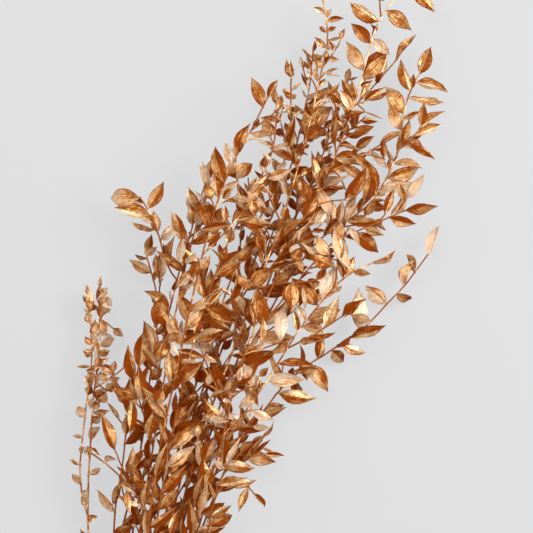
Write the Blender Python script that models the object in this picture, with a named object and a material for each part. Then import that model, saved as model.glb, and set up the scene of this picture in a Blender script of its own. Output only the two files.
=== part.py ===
# Dried ruscus bunch: nineteen leafy stems held by a twine tie, lying on a surface.
# +Y runs along the bunch from the cut ends to the tips, +X is to its right, +Z is up.
# The origin is at the middle of the bunch's outline, on the surface it lies on.
import math
import random

import bmesh
import bpy
import numpy
from mathutils import Matrix, Quaternion, Vector
from mathutils.bvhtree import BVHTree

MM = 0.001
FLOOR_GAP = 0.0006
PIECE_GAP = 0.0003

# Stems and their side twigs, which are square in section
STEM_RADIUS = 0.0013
STEM_TIP_RADIUS = 0.00075
TWIG_RADIUS = 0.0009
TWIG_TIP_RADIUS = 0.0007
STEM_SEGMENT = 0.048
TWIG_SEGMENT = 0.026
HANDLE_LENGTH = 0.100
HANDLE_VARIES = 0.022
HANDLE_SPLAY = 1.35

# Side twigs that find their own way; angles are in degrees
TWIG_TRIES = 40
TWIG_LENGTHS = (0.045, 0.085)
TWIG_ZONE = (0.38, 0.86)
TWIGS_APART = 0.035
TWIG_SPREAD = (24, 42)
TWIG_TURN_VARIES = 28
TWIG_LIFT = 0.12
TWIG_ROOM = 0.0012
TWIG_FREE_START = 0.006
TWIG_HEIGHTS = (0.008, 0.114)

# Where the stems lie in the bunch
TIE_ACROSS = 120
TIE_BELOW = 190
SLOT_PITCH = 0.0032
SLOT_ROWS = (3, 4, 5, 4, 3)
LOWEST_LAYER = 0.019
LAYER_PITCH = 0.0049
LAYERS_SPREAD_BY = 0.270
LAYERS_CLOSE_FROM = 0.330
LAYERS_CLOSE_TO = 0.740
CLOSED_SHARE = 0.72
HIGHEST_POINT = 0.128

# Twine tie
TWINE_RADIUS = 0.0009
TWINE_TURNS = 5
TWINE_PITCH = 0.0021
TURN_STEPS = 11
TIE_FLAT = 0.0003
TWINE_END = (0.0029, 0.75)
KNOT_RADIUS = 0.0024
KNOT_SHAPE = (1.25, 1.0, 0.8)
TAIL = ((0.0005, -0.0004, 0.0), (0.0065, 0.0035, -0.0002), (0.0105, 0.0105, -0.0042),
        (0.0125, 0.0222, -0.0052))
TAIL_SEGMENT = 0.004

# Leaf blades; a station is a share of the length, of the half width and of the thickness
LEAF_THICK = 0.0012
NECK_HALF_WIDTH = 0.0009
NECK_THICK = 0.0010
NECK_LENGTH = 0.0024
LARGE_LEAF = 0.018
LARGE_STATIONS = ((0.40, 1.0, 1.0), (0.73, 0.78, 0.85))
SMALL_STATIONS = ((0.46, 1.0, 0.9),)
SLIMNESS = (0.37, 0.47)
CURL = (-12, 38)
TWIST = (-26, 26)
SUNK = 0.45
END_SUNK = 0.0016

# How leaves grow and find room; each further try turns a leaf more and makes it shorter
LEAFY_FROM = 0.150
TWIG_LEAFY_FROM = 0.010
LEAF_STEP = 1.0
LEAST_STEP = 0.016
STEP_VARIES = (0.8, 1.2)
SMALLER_FROM = 0.5
LEAF_VARIES = (0.82, 1.14)
LEAF_SPREAD = (28, 66)
LEAF_TURN_VARIES = 26
LEAF_ROLL_VARIES = 29
SHOWN_TILT_VARIES = 8
SHOWN_ROLL_VARIES = 20
TIP_STRAYS = 0.1
LEAF_TRIES = 26
TRY_TURNS = 4
TRY_SHORTENS = 0.013
LEAF_ROOM = 0.0004
OWN_STEM_GAP = 0.08
LEAF_CROWDING = 0.22
TWIG_FOOT_CROWDING = 0.005
SEED = 41

# Each stem's route is a list of (across, along) in millimetres from the lower left corner of the
# view, which is TIE_ACROSS left of the tie and TIE_BELOW above it. order is the stem's place from
# the lowest layer to the highest. leaf is the leaf length low down and at the tip. A side twig
# starts on the stem, ends rise millimetres higher, and a leaf is given by its foot and its tip.
STEMS = {
    "stem_01": dict(
        order=2, leaf=(14, 12), wild_twigs=0,
        route=[(85, 0), (86, 53), (88, 83), (91, 133), (97, 178), (98, 198), (97, 246)],
        twigs=[(7, [(85, 13), (79, 35), (77, 63), (80, 93), (85, 133), (90, 173), (87, 238)]),
               (5, [(92, 143), (109, 153), (123, 165)]),
               (3, [(88, 78), (103, 68), (119, 54)]),
               (-3, [(98, 213), (105, 209), (112, 203)])],
        leaves=[(77, 66, 66, 72), (80, 93, 70, 96), (88, 83, 98, 74), (92, 118, 109, 119),
                (84, 40, 78, 30), (98, 200, 112, 194), (87, 238, 84, 251), (87, 229, 80, 238),
                (97, 239, 106, 246), (97, 229, 107, 235), (97, 220, 104, 229), (97, 221, 89, 229),
                (88, 217, 82, 226), (98, 207, 90, 214), (97, 246, 97, 259)]),
    "stem_02": dict(
        order=9, leaf=(34, 31), wild_twigs=0,
        route=[(113, 0), (116, 33), (122, 60), (126, 100), (132, 140), (140, 172)],
        twigs=[],
        leaves=[(124, 118, 132, 158), (121, 50, 113, 26), (138, 165, 146, 203)]),
    "stem_03": dict(
        order=5, leaf=(33, 24), wild_twigs=0,
        route=[(120, 0), (128, 30), (140, 83), (150, 163), (157, 236), (150, 263), (144, 282)],
        twigs=[(4, [(158, 232), (160, 246), (158, 258)])],
        leaves=[(149, 260, 126, 272), (154, 232, 135, 247), (152, 176, 145, 214),
                (144, 280, 152, 299), (159, 252, 161, 282)]),
    "stem_04": dict(
        order=10, leaf=(35, 28), wild_twigs=1,
        route=[(132, 0), (145, 63), (155, 133), (165, 203), (177, 253), (192, 305), (206, 352)],
        twigs=[(6, [(177, 253), (166, 268), (164, 283), (158, 300), (152, 318), (140, 336)])],
        leaves=[(140, 336, 102, 335), (151, 318, 115, 325), (155, 310, 133, 325),
                (153, 326, 167, 351), (159, 300, 154, 324), (157, 300, 142, 312),
                (162, 292, 183, 314)]),
    "stem_05": dict(
        order=14, leaf=(37, 29), wild_twigs=2,
        route=[(140, 0), (155, 93), (170, 183), (185, 263), (200, 318), (208, 346)],
        twigs=[(5, [(182, 248), (186, 278), (182, 300)])],
        leaves=[(206, 344, 200, 372), (184, 290, 178, 322)]),
    "stem_06": dict(
        order=18, leaf=(38, 28), wild_twigs=2,
        route=[(148, 0), (163, 93), (180, 173), (200, 263), (222, 343), (240, 383), (250, 398),
               (268, 434)],
        twigs=[],
        leaves=[(261, 424, 254, 456), (236, 377, 247, 411), (222, 350, 213, 389),
                (227, 356, 259, 369), (251, 398, 273, 394), (232, 366, 228, 392)]),
    "stem_07": dict(
        order=15, leaf=(36, 16), wild_twigs=2,
        route=[(155, 0), (172, 93), (195, 193), (225, 283), (255, 343), (274, 383), (277, 421)],
        twigs=[],
        leaves=[]),
    "stem_08": dict(
        order=8, leaf=(36, 13), wild_twigs=2,
        route=[(162, 0), (180, 93), (210, 193), (245, 288), (275, 343), (291, 393), (291, 460)],
        twigs=[],
        leaves=[(291, 456, 287, 476)]),
    "stem_09": dict(
        order=1, leaf=(36, 13), wild_twigs=2,
        route=[(168, 0), (190, 93), (225, 193), (262, 293), (293, 373), (309, 440), (314, 486)],
        twigs=[(4, [(309, 445), (303, 470)])],
        leaves=[]),
    "stem_10": dict(
        order=11, leaf=(36, 12), wild_twigs=2,
        route=[(175, 0), (200, 93), (235, 188), (275, 293), (303, 383), (320, 455), (329, 496),
               (323, 533)],
        twigs=[(4, [(323, 466), (336, 482), (341, 495)])],
        leaves=[(329, 512, 344, 517), (327, 520, 313, 526)]),
    "stem_11": dict(
        order=6, leaf=(36, 20), wild_twigs=2,
        route=[(180, 0), (208, 93), (245, 193), (290, 303), (325, 383), (343, 440), (348, 452)],
        twigs=[],
        leaves=[(330, 400, 301, 407), (348, 450, 350, 470)]),
    "stem_12": dict(
        order=12, leaf=(37, 33), wild_twigs=2,
        route=[(186, 0), (215, 98), (252, 198), (300, 308), (340, 388), (362, 453), (371, 493),
               (379, 513), (393, 533), (412, 549)],
        twigs=[],
        leaves=[(378, 512, 346, 527), (386, 523, 413, 503), (370, 489, 351, 512),
                (366, 460, 393, 485), (364, 462, 344, 493), (372, 494, 389, 477),
                (412, 549, 438, 522), (326, 358, 361, 379)]),
    "stem_13": dict(
        order=7, leaf=(37, 35), wild_twigs=1,
        route=[(190, 0), (220, 103), (265, 213), (320, 295), (368, 326), (388, 355), (400, 386),
               (405, 426), (413, 448), (421, 461)],
        twigs=[(6, [(400, 383), (413, 395), (422, 408)])],
        leaves=[(421, 461, 438, 494), (417, 451, 454, 450), (409, 436, 447, 440),
                (422, 408, 427, 433), (421, 405, 451, 429), (415, 397, 444, 410),
                (402, 388, 441, 392), (395, 370, 426, 370), (388, 354, 427, 364),
                (380, 340, 419, 352), (377, 336, 394, 349), (404, 420, 385, 450),
                (420, 461, 403, 484), (410, 443, 400, 475), (376, 336, 366, 382),
                (334, 304, 318, 348)]),
    "stem_14": dict(
        order=16, leaf=(37, 33), wild_twigs=1,
        route=[(193, 0), (225, 103), (243, 178), (290, 243), (330, 290), (378, 311), (404, 322)],
        twigs=[(4, [(243, 180), (262, 186), (280, 191), (293, 197)])],
        leaves=[(340, 297, 342, 262), (362, 306, 384, 298), (293, 196, 262, 180),
                (281, 191, 280, 230), (330, 291, 352, 262)]),
    "stem_15": dict(
        order=13, leaf=(37, 33), wild_twigs=1,
        route=[(197, 0), (227, 93), (268, 155), (300, 206), (335, 248), (352, 262), (372, 270)],
        twigs=[],
        leaves=[(306, 213, 342, 225), (301, 207, 334, 204), (322, 232, 336, 268),
                (267, 154, 305, 152), (352, 262, 371, 258)]),
    "stem_16": dict(
        order=3, leaf=(36, 34), wild_twigs=0,
        route=[(201, 0), (235, 83), (268, 126), (283, 146), (305, 165), (350, 193), (375, 213),
               (387, 228), (405, 245), (430, 279)],
        twigs=[],
        leaves=[(430, 279, 443, 312), (405, 245, 411, 277), (361, 202, 359, 246),
                (387, 229, 363, 250), (342, 188, 368, 175), (373, 211, 348, 218),
                (277, 139, 318, 129), (258, 115, 288, 122), (310, 168, 330, 140)]),
    "stem_17": dict(
        order=4, leaf=(28, 24), wild_twigs=0,
        route=[(205, 0), (217, 45), (232, 72), (262, 93)],
        twigs=[(4, [(238, 77), (254, 76), (266, 78)])],
        leaves=[(266, 78, 287, 75), (244, 77, 276, 66), (250, 86, 266, 99)]),
    "stem_18": dict(
        order=17, leaf=(29, 24), wild_twigs=0,
        route=[(208, 0), (213, 33), (225, 56), (246, 53), (255, 42)],
        twigs=[],
        leaves=[(210, 18, 232, 31), (208, 10, 237, 22), (249, 50, 237, 26), (228, 56, 256, 56)]),
    "stem_19": dict(
        order=0, leaf=(37, 31), wild_twigs=2,
        route=[(160, 0), (178, 70), (202, 143), (240, 233), (288, 303), (318, 360)],
        twigs=[],
        leaves=[]),
}

# Leaves whose tips rest on the surface, by stem: foot and tip.
RESTING = {
    "stem_01": [(88, 90, 93, 103), (96, 175, 90, 187), (98, 228, 107, 238)],
    "stem_16": [(332, 182, 347, 166), (398, 238, 415, 233), (292, 155, 300, 132)],
    "stem_09": [(306, 428, 322, 440), (272, 318, 256, 332)],
    "stem_19": [(172, 52, 160, 75), (225, 200, 210, 218), (300, 326, 322, 336)],
}

LEAF_PAINT = dict(color=(0.50, 0.225, 0.075, 1.0), roughness=0.42, metallic=0.85)
TWINE_FIBRE = dict(color=(0.42, 0.30, 0.17, 1.0), roughness=0.9, metallic=0.0)


def remove_everything():
    for thing in list(bpy.data.objects):
        bpy.data.objects.remove(thing, do_unlink=True)


def material(name, finish):
    made = bpy.data.materials.new(name)
    made.use_nodes = True
    shader = made.node_tree.nodes["Principled BSDF"]
    shader.inputs["Base Color"].default_value = finish["color"]
    shader.inputs["Roughness"].default_value = finish["roughness"]
    shader.inputs["Metallic"].default_value = finish["metallic"]
    return made


def ease(share):
    share = min(max(share, 0.0), 1.0)
    return share * share * (3.0 - 2.0 * share)


def layer_height(layer, slot_height, along):
    """Height of a stem: in its slot at the tie, spread into its layer, and closer at the tips."""
    opened = ease(along / LAYERS_SPREAD_BY)
    closing = ease((along - LAYERS_CLOSE_FROM) / (LAYERS_CLOSE_TO - LAYERS_CLOSE_FROM))
    height = LOWEST_LAYER + LAYER_PITCH * layer * (1.0 - (1.0 - CLOSED_SHARE) * closing)
    return slot_height + (height - slot_height) * opened


def in_bunch(across, along, height):
    """A point of the view, in millimetres, as a place in metres measured from the tie."""
    return Vector(((across - TIE_ACROSS) * MM, (along + TIE_BELOW) * MM, height))


def smooth_route(controls, segment):
    """Points along one smooth curve through the controls, about a segment apart."""
    spans = [(b - a).length for a, b in zip(controls, controls[1:])]
    slopes = [(b - a) / span for a, b, span in zip(controls, controls[1:], spans)]
    tangents = [slopes[0]]
    for left, right, before, after in zip(slopes, slopes[1:], spans, spans[1:]):
        tangents.append((left * after + right * before) / (before + after))
    tangents.append(slopes[-1])
    points = [controls[0].copy()]
    for index, span in enumerate(spans):
        start, end = controls[index], controls[index + 1]
        pieces = max(1, round(span / segment))
        for piece in range(1, pieces + 1):
            t = piece / pieces
            point = start * (2 * t ** 3 - 3 * t ** 2 + 1) + end * (3 * t ** 2 - 2 * t ** 3)
            point += tangents[index] * span * (t ** 3 - 2 * t ** 2 + t)
            point += tangents[index + 1] * span * (t ** 3 - t ** 2)
            points.append(point)
    return points


class Axis:
    """The middle line of a stem or a twig, with its thickness from foot to tip."""

    def __init__(self, stem, points, foot_radius, tip_radius):
        self.stem = stem
        self.points = points
        self.reach = [0.0]
        for a, b in zip(points, points[1:]):
            self.reach.append(self.reach[-1] + (b - a).length)
        self.length = self.reach[-1]
        self.foot_radius = foot_radius
        self.tip_radius = tip_radius
        self.twig_feet = []

    def radius(self, distance):
        return self.foot_radius + (self.tip_radius - self.foot_radius) * distance / self.length

    def at(self, distance):
        distance = min(max(distance, 0.0), self.length)
        for index in range(len(self.points) - 1):
            if distance <= self.reach[index + 1] or index == len(self.points) - 2:
                a, b = self.points[index], self.points[index + 1]
                share = (distance - self.reach[index]) / (b - a).length
                return a.lerp(b, share), (b - a).normalized()

    def nearest(self, place):
        """Distance along the axis of its point nearest to a place, seen from above."""
        steps = int(self.length / MM)
        marks = [self.length * step / steps for step in range(steps + 1)]
        return min(marks, key=lambda mark: (self.at(mark)[0] - place).xy.length)

    def away(self, place):
        """How far a place is from the axis, seen from above."""
        return (self.at(self.nearest(place))[0] - place).xy.length


def tube(name, axis):
    """A stem or twig along its axis, as a closed mesh."""
    curve = bpy.data.curves.new(name, "CURVE")
    curve.dimensions = "3D"
    curve.bevel_depth = 1.0
    curve.bevel_resolution = 0
    curve.use_fill_caps = True
    spline = curve.splines.new("POLY")
    spline.points.add(len(axis.points) - 1)
    for node, point, reach in zip(spline.points, axis.points, axis.reach):
        node.co = (point.x, point.y, point.z, 1.0)
        node.radius = axis.radius(reach)
    return curve_to_mesh(name, curve)


def curve_to_mesh(name, curve):
    holder = bpy.data.objects.new(name + "_curve", curve)
    bpy.context.scene.collection.objects.link(holder)
    seen = holder.evaluated_get(bpy.context.evaluated_depsgraph_get())
    mesh = bpy.data.meshes.new_from_object(seen)
    mesh.name = name
    bpy.data.objects.remove(holder, do_unlink=True)
    bpy.data.curves.remove(curve)
    shape = bmesh.new()
    shape.from_mesh(mesh)
    bmesh.ops.remove_doubles(shape, verts=shape.verts, dist=1e-6)
    bmesh.ops.recalc_face_normals(shape, faces=shape.faces)
    shape.to_mesh(mesh)
    shape.free()
    return mesh


class Pattern:
    """A three-sided sphere, which a leaf is drawn out of.

    places holds each vertex's ring, from 0 at the foot, and its corner: 0 and 2 are the blade's
    edges and 1 is its midrib. Both halves of the blade are split into triangles alike.
    """

    def __init__(self, rings):
        ball = bmesh.new()
        bmesh.ops.create_uvsphere(ball, u_segments=3, v_segments=rings + 1, radius=1.0)
        found = {}
        for vert in ball.verts:
            rise = math.asin(max(-1.0, min(1.0, vert.co.z))) / math.pi + 0.5
            corner = round(math.atan2(vert.co.y, vert.co.x) / (2 * math.pi / 3)) % 3
            found[vert] = (round(rise * (rings + 1)), corner)
        for face in [f for f in ball.faces if len(f.verts) == 4]:
            foot = min(found[v][0] for v in face.verts)
            corners = {found[v][1] for v in face.verts}
            edge = min(corners - {1})
            other = max(corners - {edge}) if corners == {0, 2} else 1
            start = next(v for v in face.verts if found[v] == (foot, edge))
            end = next(v for v in face.verts if found[v] == (foot + 1, other))
            bmesh.utils.face_split(face, start, end)
        ball.verts.index_update()
        self.places = [found[v] for v in ball.verts]
        self.mesh = bpy.data.meshes.new("blade_pattern")
        ball.to_mesh(self.mesh)
        ball.free()
        self.faces = [tuple(face.vertices) for face in self.mesh.polygons]


class Leaf:
    """One blade: its foot in the stem, where it points, which way it faces and how it bends."""

    def __init__(self, foot, along, facing, length, width, curl, twist, sunk):
        self.foot = foot
        self.along = along.normalized()
        self.side = self.along.cross(facing).normalized()
        self.facing = self.side.cross(self.along)
        self.length = length
        self.width = width
        self.curl = curl
        self.twist = twist
        self.sunk = sunk
        self.rests = False

    def frame(self, share):
        """Midrib point and the blade's side and facing directions at a share of its length."""
        bend = self.curl * max(share, 0.0)
        reach = self.length * share
        drop = 0.0
        if abs(bend) > 1e-4:
            reach = self.length * share * math.sin(bend) / bend
            drop = self.length * share * (1.0 - math.cos(bend)) / bend
        middle = self.foot + self.along * reach - self.facing * drop
        facing = self.facing * math.cos(bend) + self.along * math.sin(bend)
        turn = self.twist * max(share, 0.0)
        side = self.side * math.cos(turn) + facing * math.sin(turn)
        return middle, side, facing * math.cos(turn) - self.side * math.sin(turn)

    def stations(self):
        """Share of the length, half width and thickness at each ring, from foot to tip."""
        table = LARGE_STATIONS if self.length > LARGE_LEAF else SMALL_STATIONS
        rings = [(-self.sunk / self.length, 0.0, 0.0),
                 (NECK_LENGTH / self.length, NECK_HALF_WIDTH, NECK_THICK)]
        rings += [(at, self.width / 2 * wide, LEAF_THICK * thick) for at, wide, thick in table]
        return rings + [(1.0, 0.0, 0.0)]

    def points(self, patterns, spare=0.0):
        """The blade's vertices; spare makes it larger all round, for trying its room."""
        rings = self.stations()
        found = []
        for ring, corner in patterns[len(rings)].places:
            share, half, thick = rings[ring]
            if ring == len(rings) - 1:
                share += 2 * spare / self.length
            middle, side, facing = self.frame(share)
            if ring in (0, len(rings) - 1):
                found.append(middle)
            elif corner == 1:
                found.append(middle + facing * (thick / 2 + spare))
            else:
                hand = 1.0 if corner == 2 else -1.0
                reach = half + 3 * spare
                drop = thick / 2 + spare
                found.append(middle + side * hand * reach - facing * drop)
        return found

    def faces(self, patterns):
        return patterns[len(self.stations())].faces


class Thicket:
    """Everything placed so far, for finding out whether a new leaf or twig has room."""

    def __init__(self):
        self.trees = []
        self.owners = []
        self.lows = []
        self.highs = []

    def add(self, points, faces, owner):
        box = numpy.array([tuple(p) for p in points])
        self.trees.append(BVHTree.FromPolygons(points, faces))
        self.owners.append(owner)
        self.lows.append(box.min(axis=0))
        self.highs.append(box.max(axis=0))

    def near(self, low, high):
        lows, highs = numpy.array(self.lows), numpy.array(self.highs)
        meet = (lows <= high).all(axis=1) & (highs >= low).all(axis=1)
        return [int(index) for index in numpy.nonzero(meet)[0]]

    def has_room(self, points, faces, parent):
        box = numpy.array([tuple(p) for p in points])
        tree = BVHTree.FromPolygons(points, faces)
        for index in self.near(box.min(axis=0), box.max(axis=0)):
            if self.owners[index] is not parent and tree.overlap(self.trees[index]):
                return False
        return True

    def is_off(self, owner, place, distance):
        """Whether a place is further than a distance from one of the pieces."""
        tree = self.trees[self.owners.index(owner)]
        return tree.find_nearest(place, distance)[0] is None

    def line_is_clear(self, points, clearance, parent, free_start):
        """Whether a line keeps its clearance, apart from its own stem near the line's start."""
        for a, b in zip(points, points[1:]):
            steps = max(1, int((b - a).length / MM))
            for step in range(steps + 1):
                place = a.lerp(b, step / steps)
                reach = numpy.array(tuple(place))
                for index in self.near(reach - clearance, reach + clearance):
                    own = self.owners[index] is parent
                    if own and (place - points[0]).length < free_start:
                        continue
                    if self.trees[index].find_nearest(place, clearance)[0] is not None:
                        return False
        return True


def lay_stems():
    """The nineteen stems' axes: straight through the tie, then fanned out, each in a layer."""
    by_layer = sorted(STEMS, key=lambda name: STEMS[name]["order"])
    axes = {}
    first = 0
    for row, count in enumerate(SLOT_ROWS):
        members = by_layer[first:first + count]
        first += count
        members.sort(key=lambda name: STEMS[name]["route"][0][0])
        for place, name in enumerate(members):
            slot_x = (place - (count - 1) / 2) * SLOT_PITCH
            slot_z = bundle_height() + (row - 2) * SLOT_PITCH * math.sqrt(3) / 2
            axes[name] = lay_stem(name, slot_x, slot_z)
    return axes


def bundle_height():
    """Height of the bundle's middle inside the tie."""
    return bundle_radius() + 2 * TWINE_RADIUS + PIECE_GAP - TIE_FLAT


def bundle_radius():
    return 2 * SLOT_PITCH + STEM_RADIUS


def lay_stem(name, slot_x, slot_z):
    stem = STEMS[name]
    rng = random.Random(SEED * 100 + stem["order"])
    cut = HANDLE_LENGTH - rng.random() * HANDLE_VARIES
    lift = max(slot_z - bundle_height(), 0.0)
    half_tie = TWINE_TURNS * TWINE_PITCH
    controls = [Vector((slot_x * HANDLE_SPLAY, -cut, slot_z + lift * (HANDLE_SPLAY - 1))),
                Vector((slot_x, -half_tie, slot_z)), Vector((slot_x, half_tie, slot_z))]
    for across, along in stem["route"]:
        height = layer_height(stem["order"], slot_z, (along + TIE_BELOW) * MM)
        controls.append(in_bunch(across, along, height))
    points = smooth_route(controls, STEM_SEGMENT)
    return Axis(name, points, STEM_RADIUS, STEM_TIP_RADIUS)


def lay_twig(main, rise, route):
    """A side twig drawn by hand: it starts on the stem's own axis and ends rise mm higher."""
    start = main.nearest(in_bunch(route[0][0], route[0][1], 0.0))
    foot, _ = main.at(start)
    controls = [foot]
    for index, (across, along) in enumerate(route[1:], start=1):
        share = index / (len(route) - 1)
        controls.append(in_bunch(across, along, foot.z + rise * MM * math.sqrt(share)))
    main.twig_feet.append(start)
    return Axis(main.stem, smooth_route(controls, TWIG_SEGMENT), TWIG_RADIUS, TWIG_TIP_RADIUS)


def vary(rng, degrees):
    """A random angle, in radians, that is mostly within some degrees of nothing."""
    return math.radians(rng.gauss(0.0, degrees))


def pick(rng, limits):
    """A random angle, in radians, between two limits in degrees."""
    return math.radians(rng.uniform(*limits))


def outwards(forward, around, spread):
    """A way out of a stem: turned round it from level, and spread from the way it runs."""
    outward = Vector((0.0, 0.0, 1.0)).cross(forward).normalized()
    outward.rotate(Quaternion(forward, around))
    return forward * math.cos(spread) + outward * math.sin(spread)


def blade(axis, distance, way, length, roll, rng):
    """A leaf on an axis, pointing a given way and rolled about its midrib from facing up."""
    foot, _ = axis.at(min(distance, axis.length - END_SUNK))
    way = way.normalized()
    facing = Vector((0.0, 0.0, 1.0)).cross(way).cross(way) * -1.0
    if facing.length < 0.2:
        facing = Vector((0.0, 1.0, 0.0)).cross(way).cross(way) * -1.0
    facing.rotate(Quaternion(way, roll))
    width = length * rng.uniform(*SLIMNESS)
    sunk = SUNK * axis.radius(distance)
    return Leaf(foot, way, facing, length, width, pick(rng, CURL), pick(rng, TWIST), sunk)


class Bunch:
    """The whole plant: its stems and twigs, and the leaves that each of them carries."""

    def __init__(self):
        self.thicket = Thicket()
        self.patterns = {rings + 2: Pattern(rings) for rings in (2, 3)}
        self.axes = {name: [main] for name, main in lay_stems().items()}
        self.tubes = {}
        self.leaves = {name: [] for name in STEMS}
        self.feet = {}
        self.ended = set()
        for name in STEMS:
            self.settle(self.axes[name][0])
        for name, stem in STEMS.items():
            for rise, route in stem["twigs"]:
                self.add_twig(name, lay_twig(self.axes[name][0], rise, route))
        for name, stem in STEMS.items():
            rng = random.Random(SEED * 300 + stem["order"])
            for _ in range(stem["wild_twigs"]):
                self.add_twig(name, self.wild_twig(self.axes[name][0], rng))
        self.place_shown(RESTING, True)
        self.place_shown({name: stem["leaves"] for name, stem in STEMS.items()}, False)
        for name in STEMS:
            for number, axis in enumerate(self.axes[name]):
                self.grow_along(axis, number)

    def settle(self, axis):
        mesh = tube(axis.stem, axis)
        faces = [tuple(face.vertices) for face in mesh.polygons]
        self.thicket.add([vert.co.copy() for vert in mesh.vertices], faces, axis)
        self.tubes[axis] = mesh
        self.feet[axis] = []

    def add_twig(self, name, twig):
        if twig:
            self.axes[name].append(twig)
            self.settle(twig)

    def wild_twig(self, main, rng):
        """A side twig that finds its own way out of the stem between its neighbours."""
        for _ in range(TWIG_TRIES):
            start = rng.uniform(*TWIG_ZONE) * main.length
            length = rng.uniform(*TWIG_LENGTHS)
            if any(abs(start - other) < TWIGS_APART for other in main.twig_feet):
                continue
            foot, forward = main.at(start)
            around = rng.choice((0.0, math.pi)) + vary(rng, TWIG_TURN_VARIES)
            way = outwards(forward, around, pick(rng, TWIG_SPREAD))
            end = foot + (way + forward * TWIG_LIFT) * length
            points = smooth_route([foot, foot + way * length / 2, end], TWIG_SEGMENT)
            heights = [point.z for point in points]
            if min(heights) < TWIG_HEIGHTS[0] or max(heights) > TWIG_HEIGHTS[1]:
                continue
            room = TWIG_RADIUS + TWIG_ROOM
            if self.thicket.line_is_clear(points, room, main, TWIG_FREE_START):
                main.twig_feet.append(start)
                return Axis(main.stem, points, TWIG_RADIUS, TWIG_TIP_RADIUS)
        return None

    def place(self, leaf, axis, distance, lowest=FLOOR_GAP, at_end=False):
        """Keep the leaf if it clears the surface and everything placed so far."""
        roomy = leaf.points(self.patterns, spare=LEAF_ROOM)
        heights = [point.z for point in roomy]
        if min(heights) < lowest or max(heights) > HIGHEST_POINT:
            return False
        if not self.thicket.has_room(roomy, leaf.faces(self.patterns), axis):
            return False
        for share in (0.4, 0.6, 0.8, 1.0):
            away = OWN_STEM_GAP * leaf.length
            if not at_end and not self.thicket.is_off(axis, leaf.frame(share)[0], away):
                return False
        self.thicket.add(leaf.points(self.patterns), leaf.faces(self.patterns), leaf)
        self.leaves[axis.stem].append(leaf)
        self.feet[axis].append(distance)
        return True

    def place_shown(self, table, resting):
        for name, spots in table.items():
            for number, spot in enumerate(spots):
                seed = SEED * 7000 + STEMS[name]["order"] * 100 + number + 50 * resting
                self.shown_leaf(name, spot, resting, random.Random(seed))

    def shown_leaf(self, name, spot, resting, rng):
        """A leaf given by its foot and tip, tilted until it has room."""
        aim = in_bunch(spot[0], spot[1], 0.0)
        axis = min(self.axes[name], key=lambda each: each.away(aim))
        distance = axis.nearest(aim)
        foot, _ = axis.at(distance)
        flat = in_bunch(spot[2], spot[3], foot.z) - foot
        for attempt in range(LEAF_TRIES):
            if resting:
                way = Vector((flat.x, flat.y, -foot.z))
                way.rotate(Quaternion((0, 0, 1), vary(rng, TRY_TURNS * attempt)))
                leaf = blade(axis, distance, way, way.length, vary(rng, SHOWN_ROLL_VARIES), rng)
                leaf.curl = 0.0
                leaf.rests = True
                placed = self.place(leaf, axis, distance, lowest=-2 * LEAF_THICK)
            else:
                tilt = vary(rng, SHOWN_TILT_VARIES + attempt)
                way = flat + Vector((0.0, 0.0, flat.length * math.tan(tilt)))
                length = flat.length * (1.0 - TRY_SHORTENS * attempt)
                roll = vary(rng, SHOWN_ROLL_VARIES + attempt)
                leaf = blade(axis, distance, way, length, roll, rng)
                placed = self.place(leaf, axis, distance)
            if placed:
                if distance > axis.length - 2 * END_SUNK:
                    self.ended.add(axis)
                return

    def grow_along(self, axis, number):
        """The plant's own rule: leaves on alternate sides, and one where the axis ends."""
        stem = STEMS[axis.stem]
        rng = random.Random(SEED * 9000 + stem["order"] * 40 + number)
        if axis not in self.ended:
            self.tip_leaf(axis, leaf_size(axis, axis.length), rng)
        distance = TWIG_LEAFY_FROM if number else LEAFY_FROM + HANDLE_LENGTH
        distance += rng.random() * TWIG_LEAFY_FROM
        turn = rng.choice((0.0, math.pi))
        while distance < axis.length - TWIG_LEAFY_FROM:
            size = leaf_size(axis, distance)
            near_leaf = any(abs(distance - other) < LEAF_CROWDING * size
                            for other in self.feet[axis])
            near_twig = any(abs(distance - other) < TWIG_FOOT_CROWDING
                            for other in axis.twig_feet)
            leaf_rng = random.Random(rng.random())
            if not near_leaf and not near_twig:
                if self.grown_leaf(axis, distance, turn, size, leaf_rng):
                    turn += math.pi
            distance += max(size * LEAF_STEP, LEAST_STEP) * rng.uniform(*STEP_VARIES)

    def grown_leaf(self, axis, distance, turn, size, rng):
        _, forward = axis.at(distance)
        for attempt in range(LEAF_TRIES):
            around = turn + vary(rng, LEAF_TURN_VARIES + TRY_TURNS * attempt)
            way = outwards(forward, around, pick(rng, LEAF_SPREAD))
            length = size * rng.uniform(*LEAF_VARIES) * (1.0 - TRY_SHORTENS * attempt)
            leaf = blade(axis, distance, way, length, vary(rng, LEAF_ROLL_VARIES), rng)
            if self.place(leaf, axis, distance):
                return True
        return False

    def tip_leaf(self, axis, size, rng):
        """The last leaf, which carries on where a stem or twig ends."""
        _, forward = axis.at(axis.length)
        for attempt in range(LEAF_TRIES):
            stray = TIP_STRAYS * (1 + attempt / 3)
            way = forward + Vector([rng.gauss(0.0, stray) for _ in range(3)])
            length = size * rng.uniform(*LEAF_VARIES)
            leaf = blade(axis, axis.length, way, length, vary(rng, LEAF_ROLL_VARIES), rng)
            if self.place(leaf, axis, axis.length, at_end=True):
                return


def leaf_size(axis, distance):
    """Leaf length at a place, from the stem's low leaves to its tip leaves."""
    stem = STEMS[axis.stem]
    point, _ = axis.at(distance)
    height = (point.y / MM - TIE_BELOW) / stem["route"][-1][1]
    share = ease((height - SMALLER_FROM) / (1.0 - SMALLER_FROM))
    low, high = stem["leaf"]
    return (low + (high - low) * share) * MM


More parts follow.
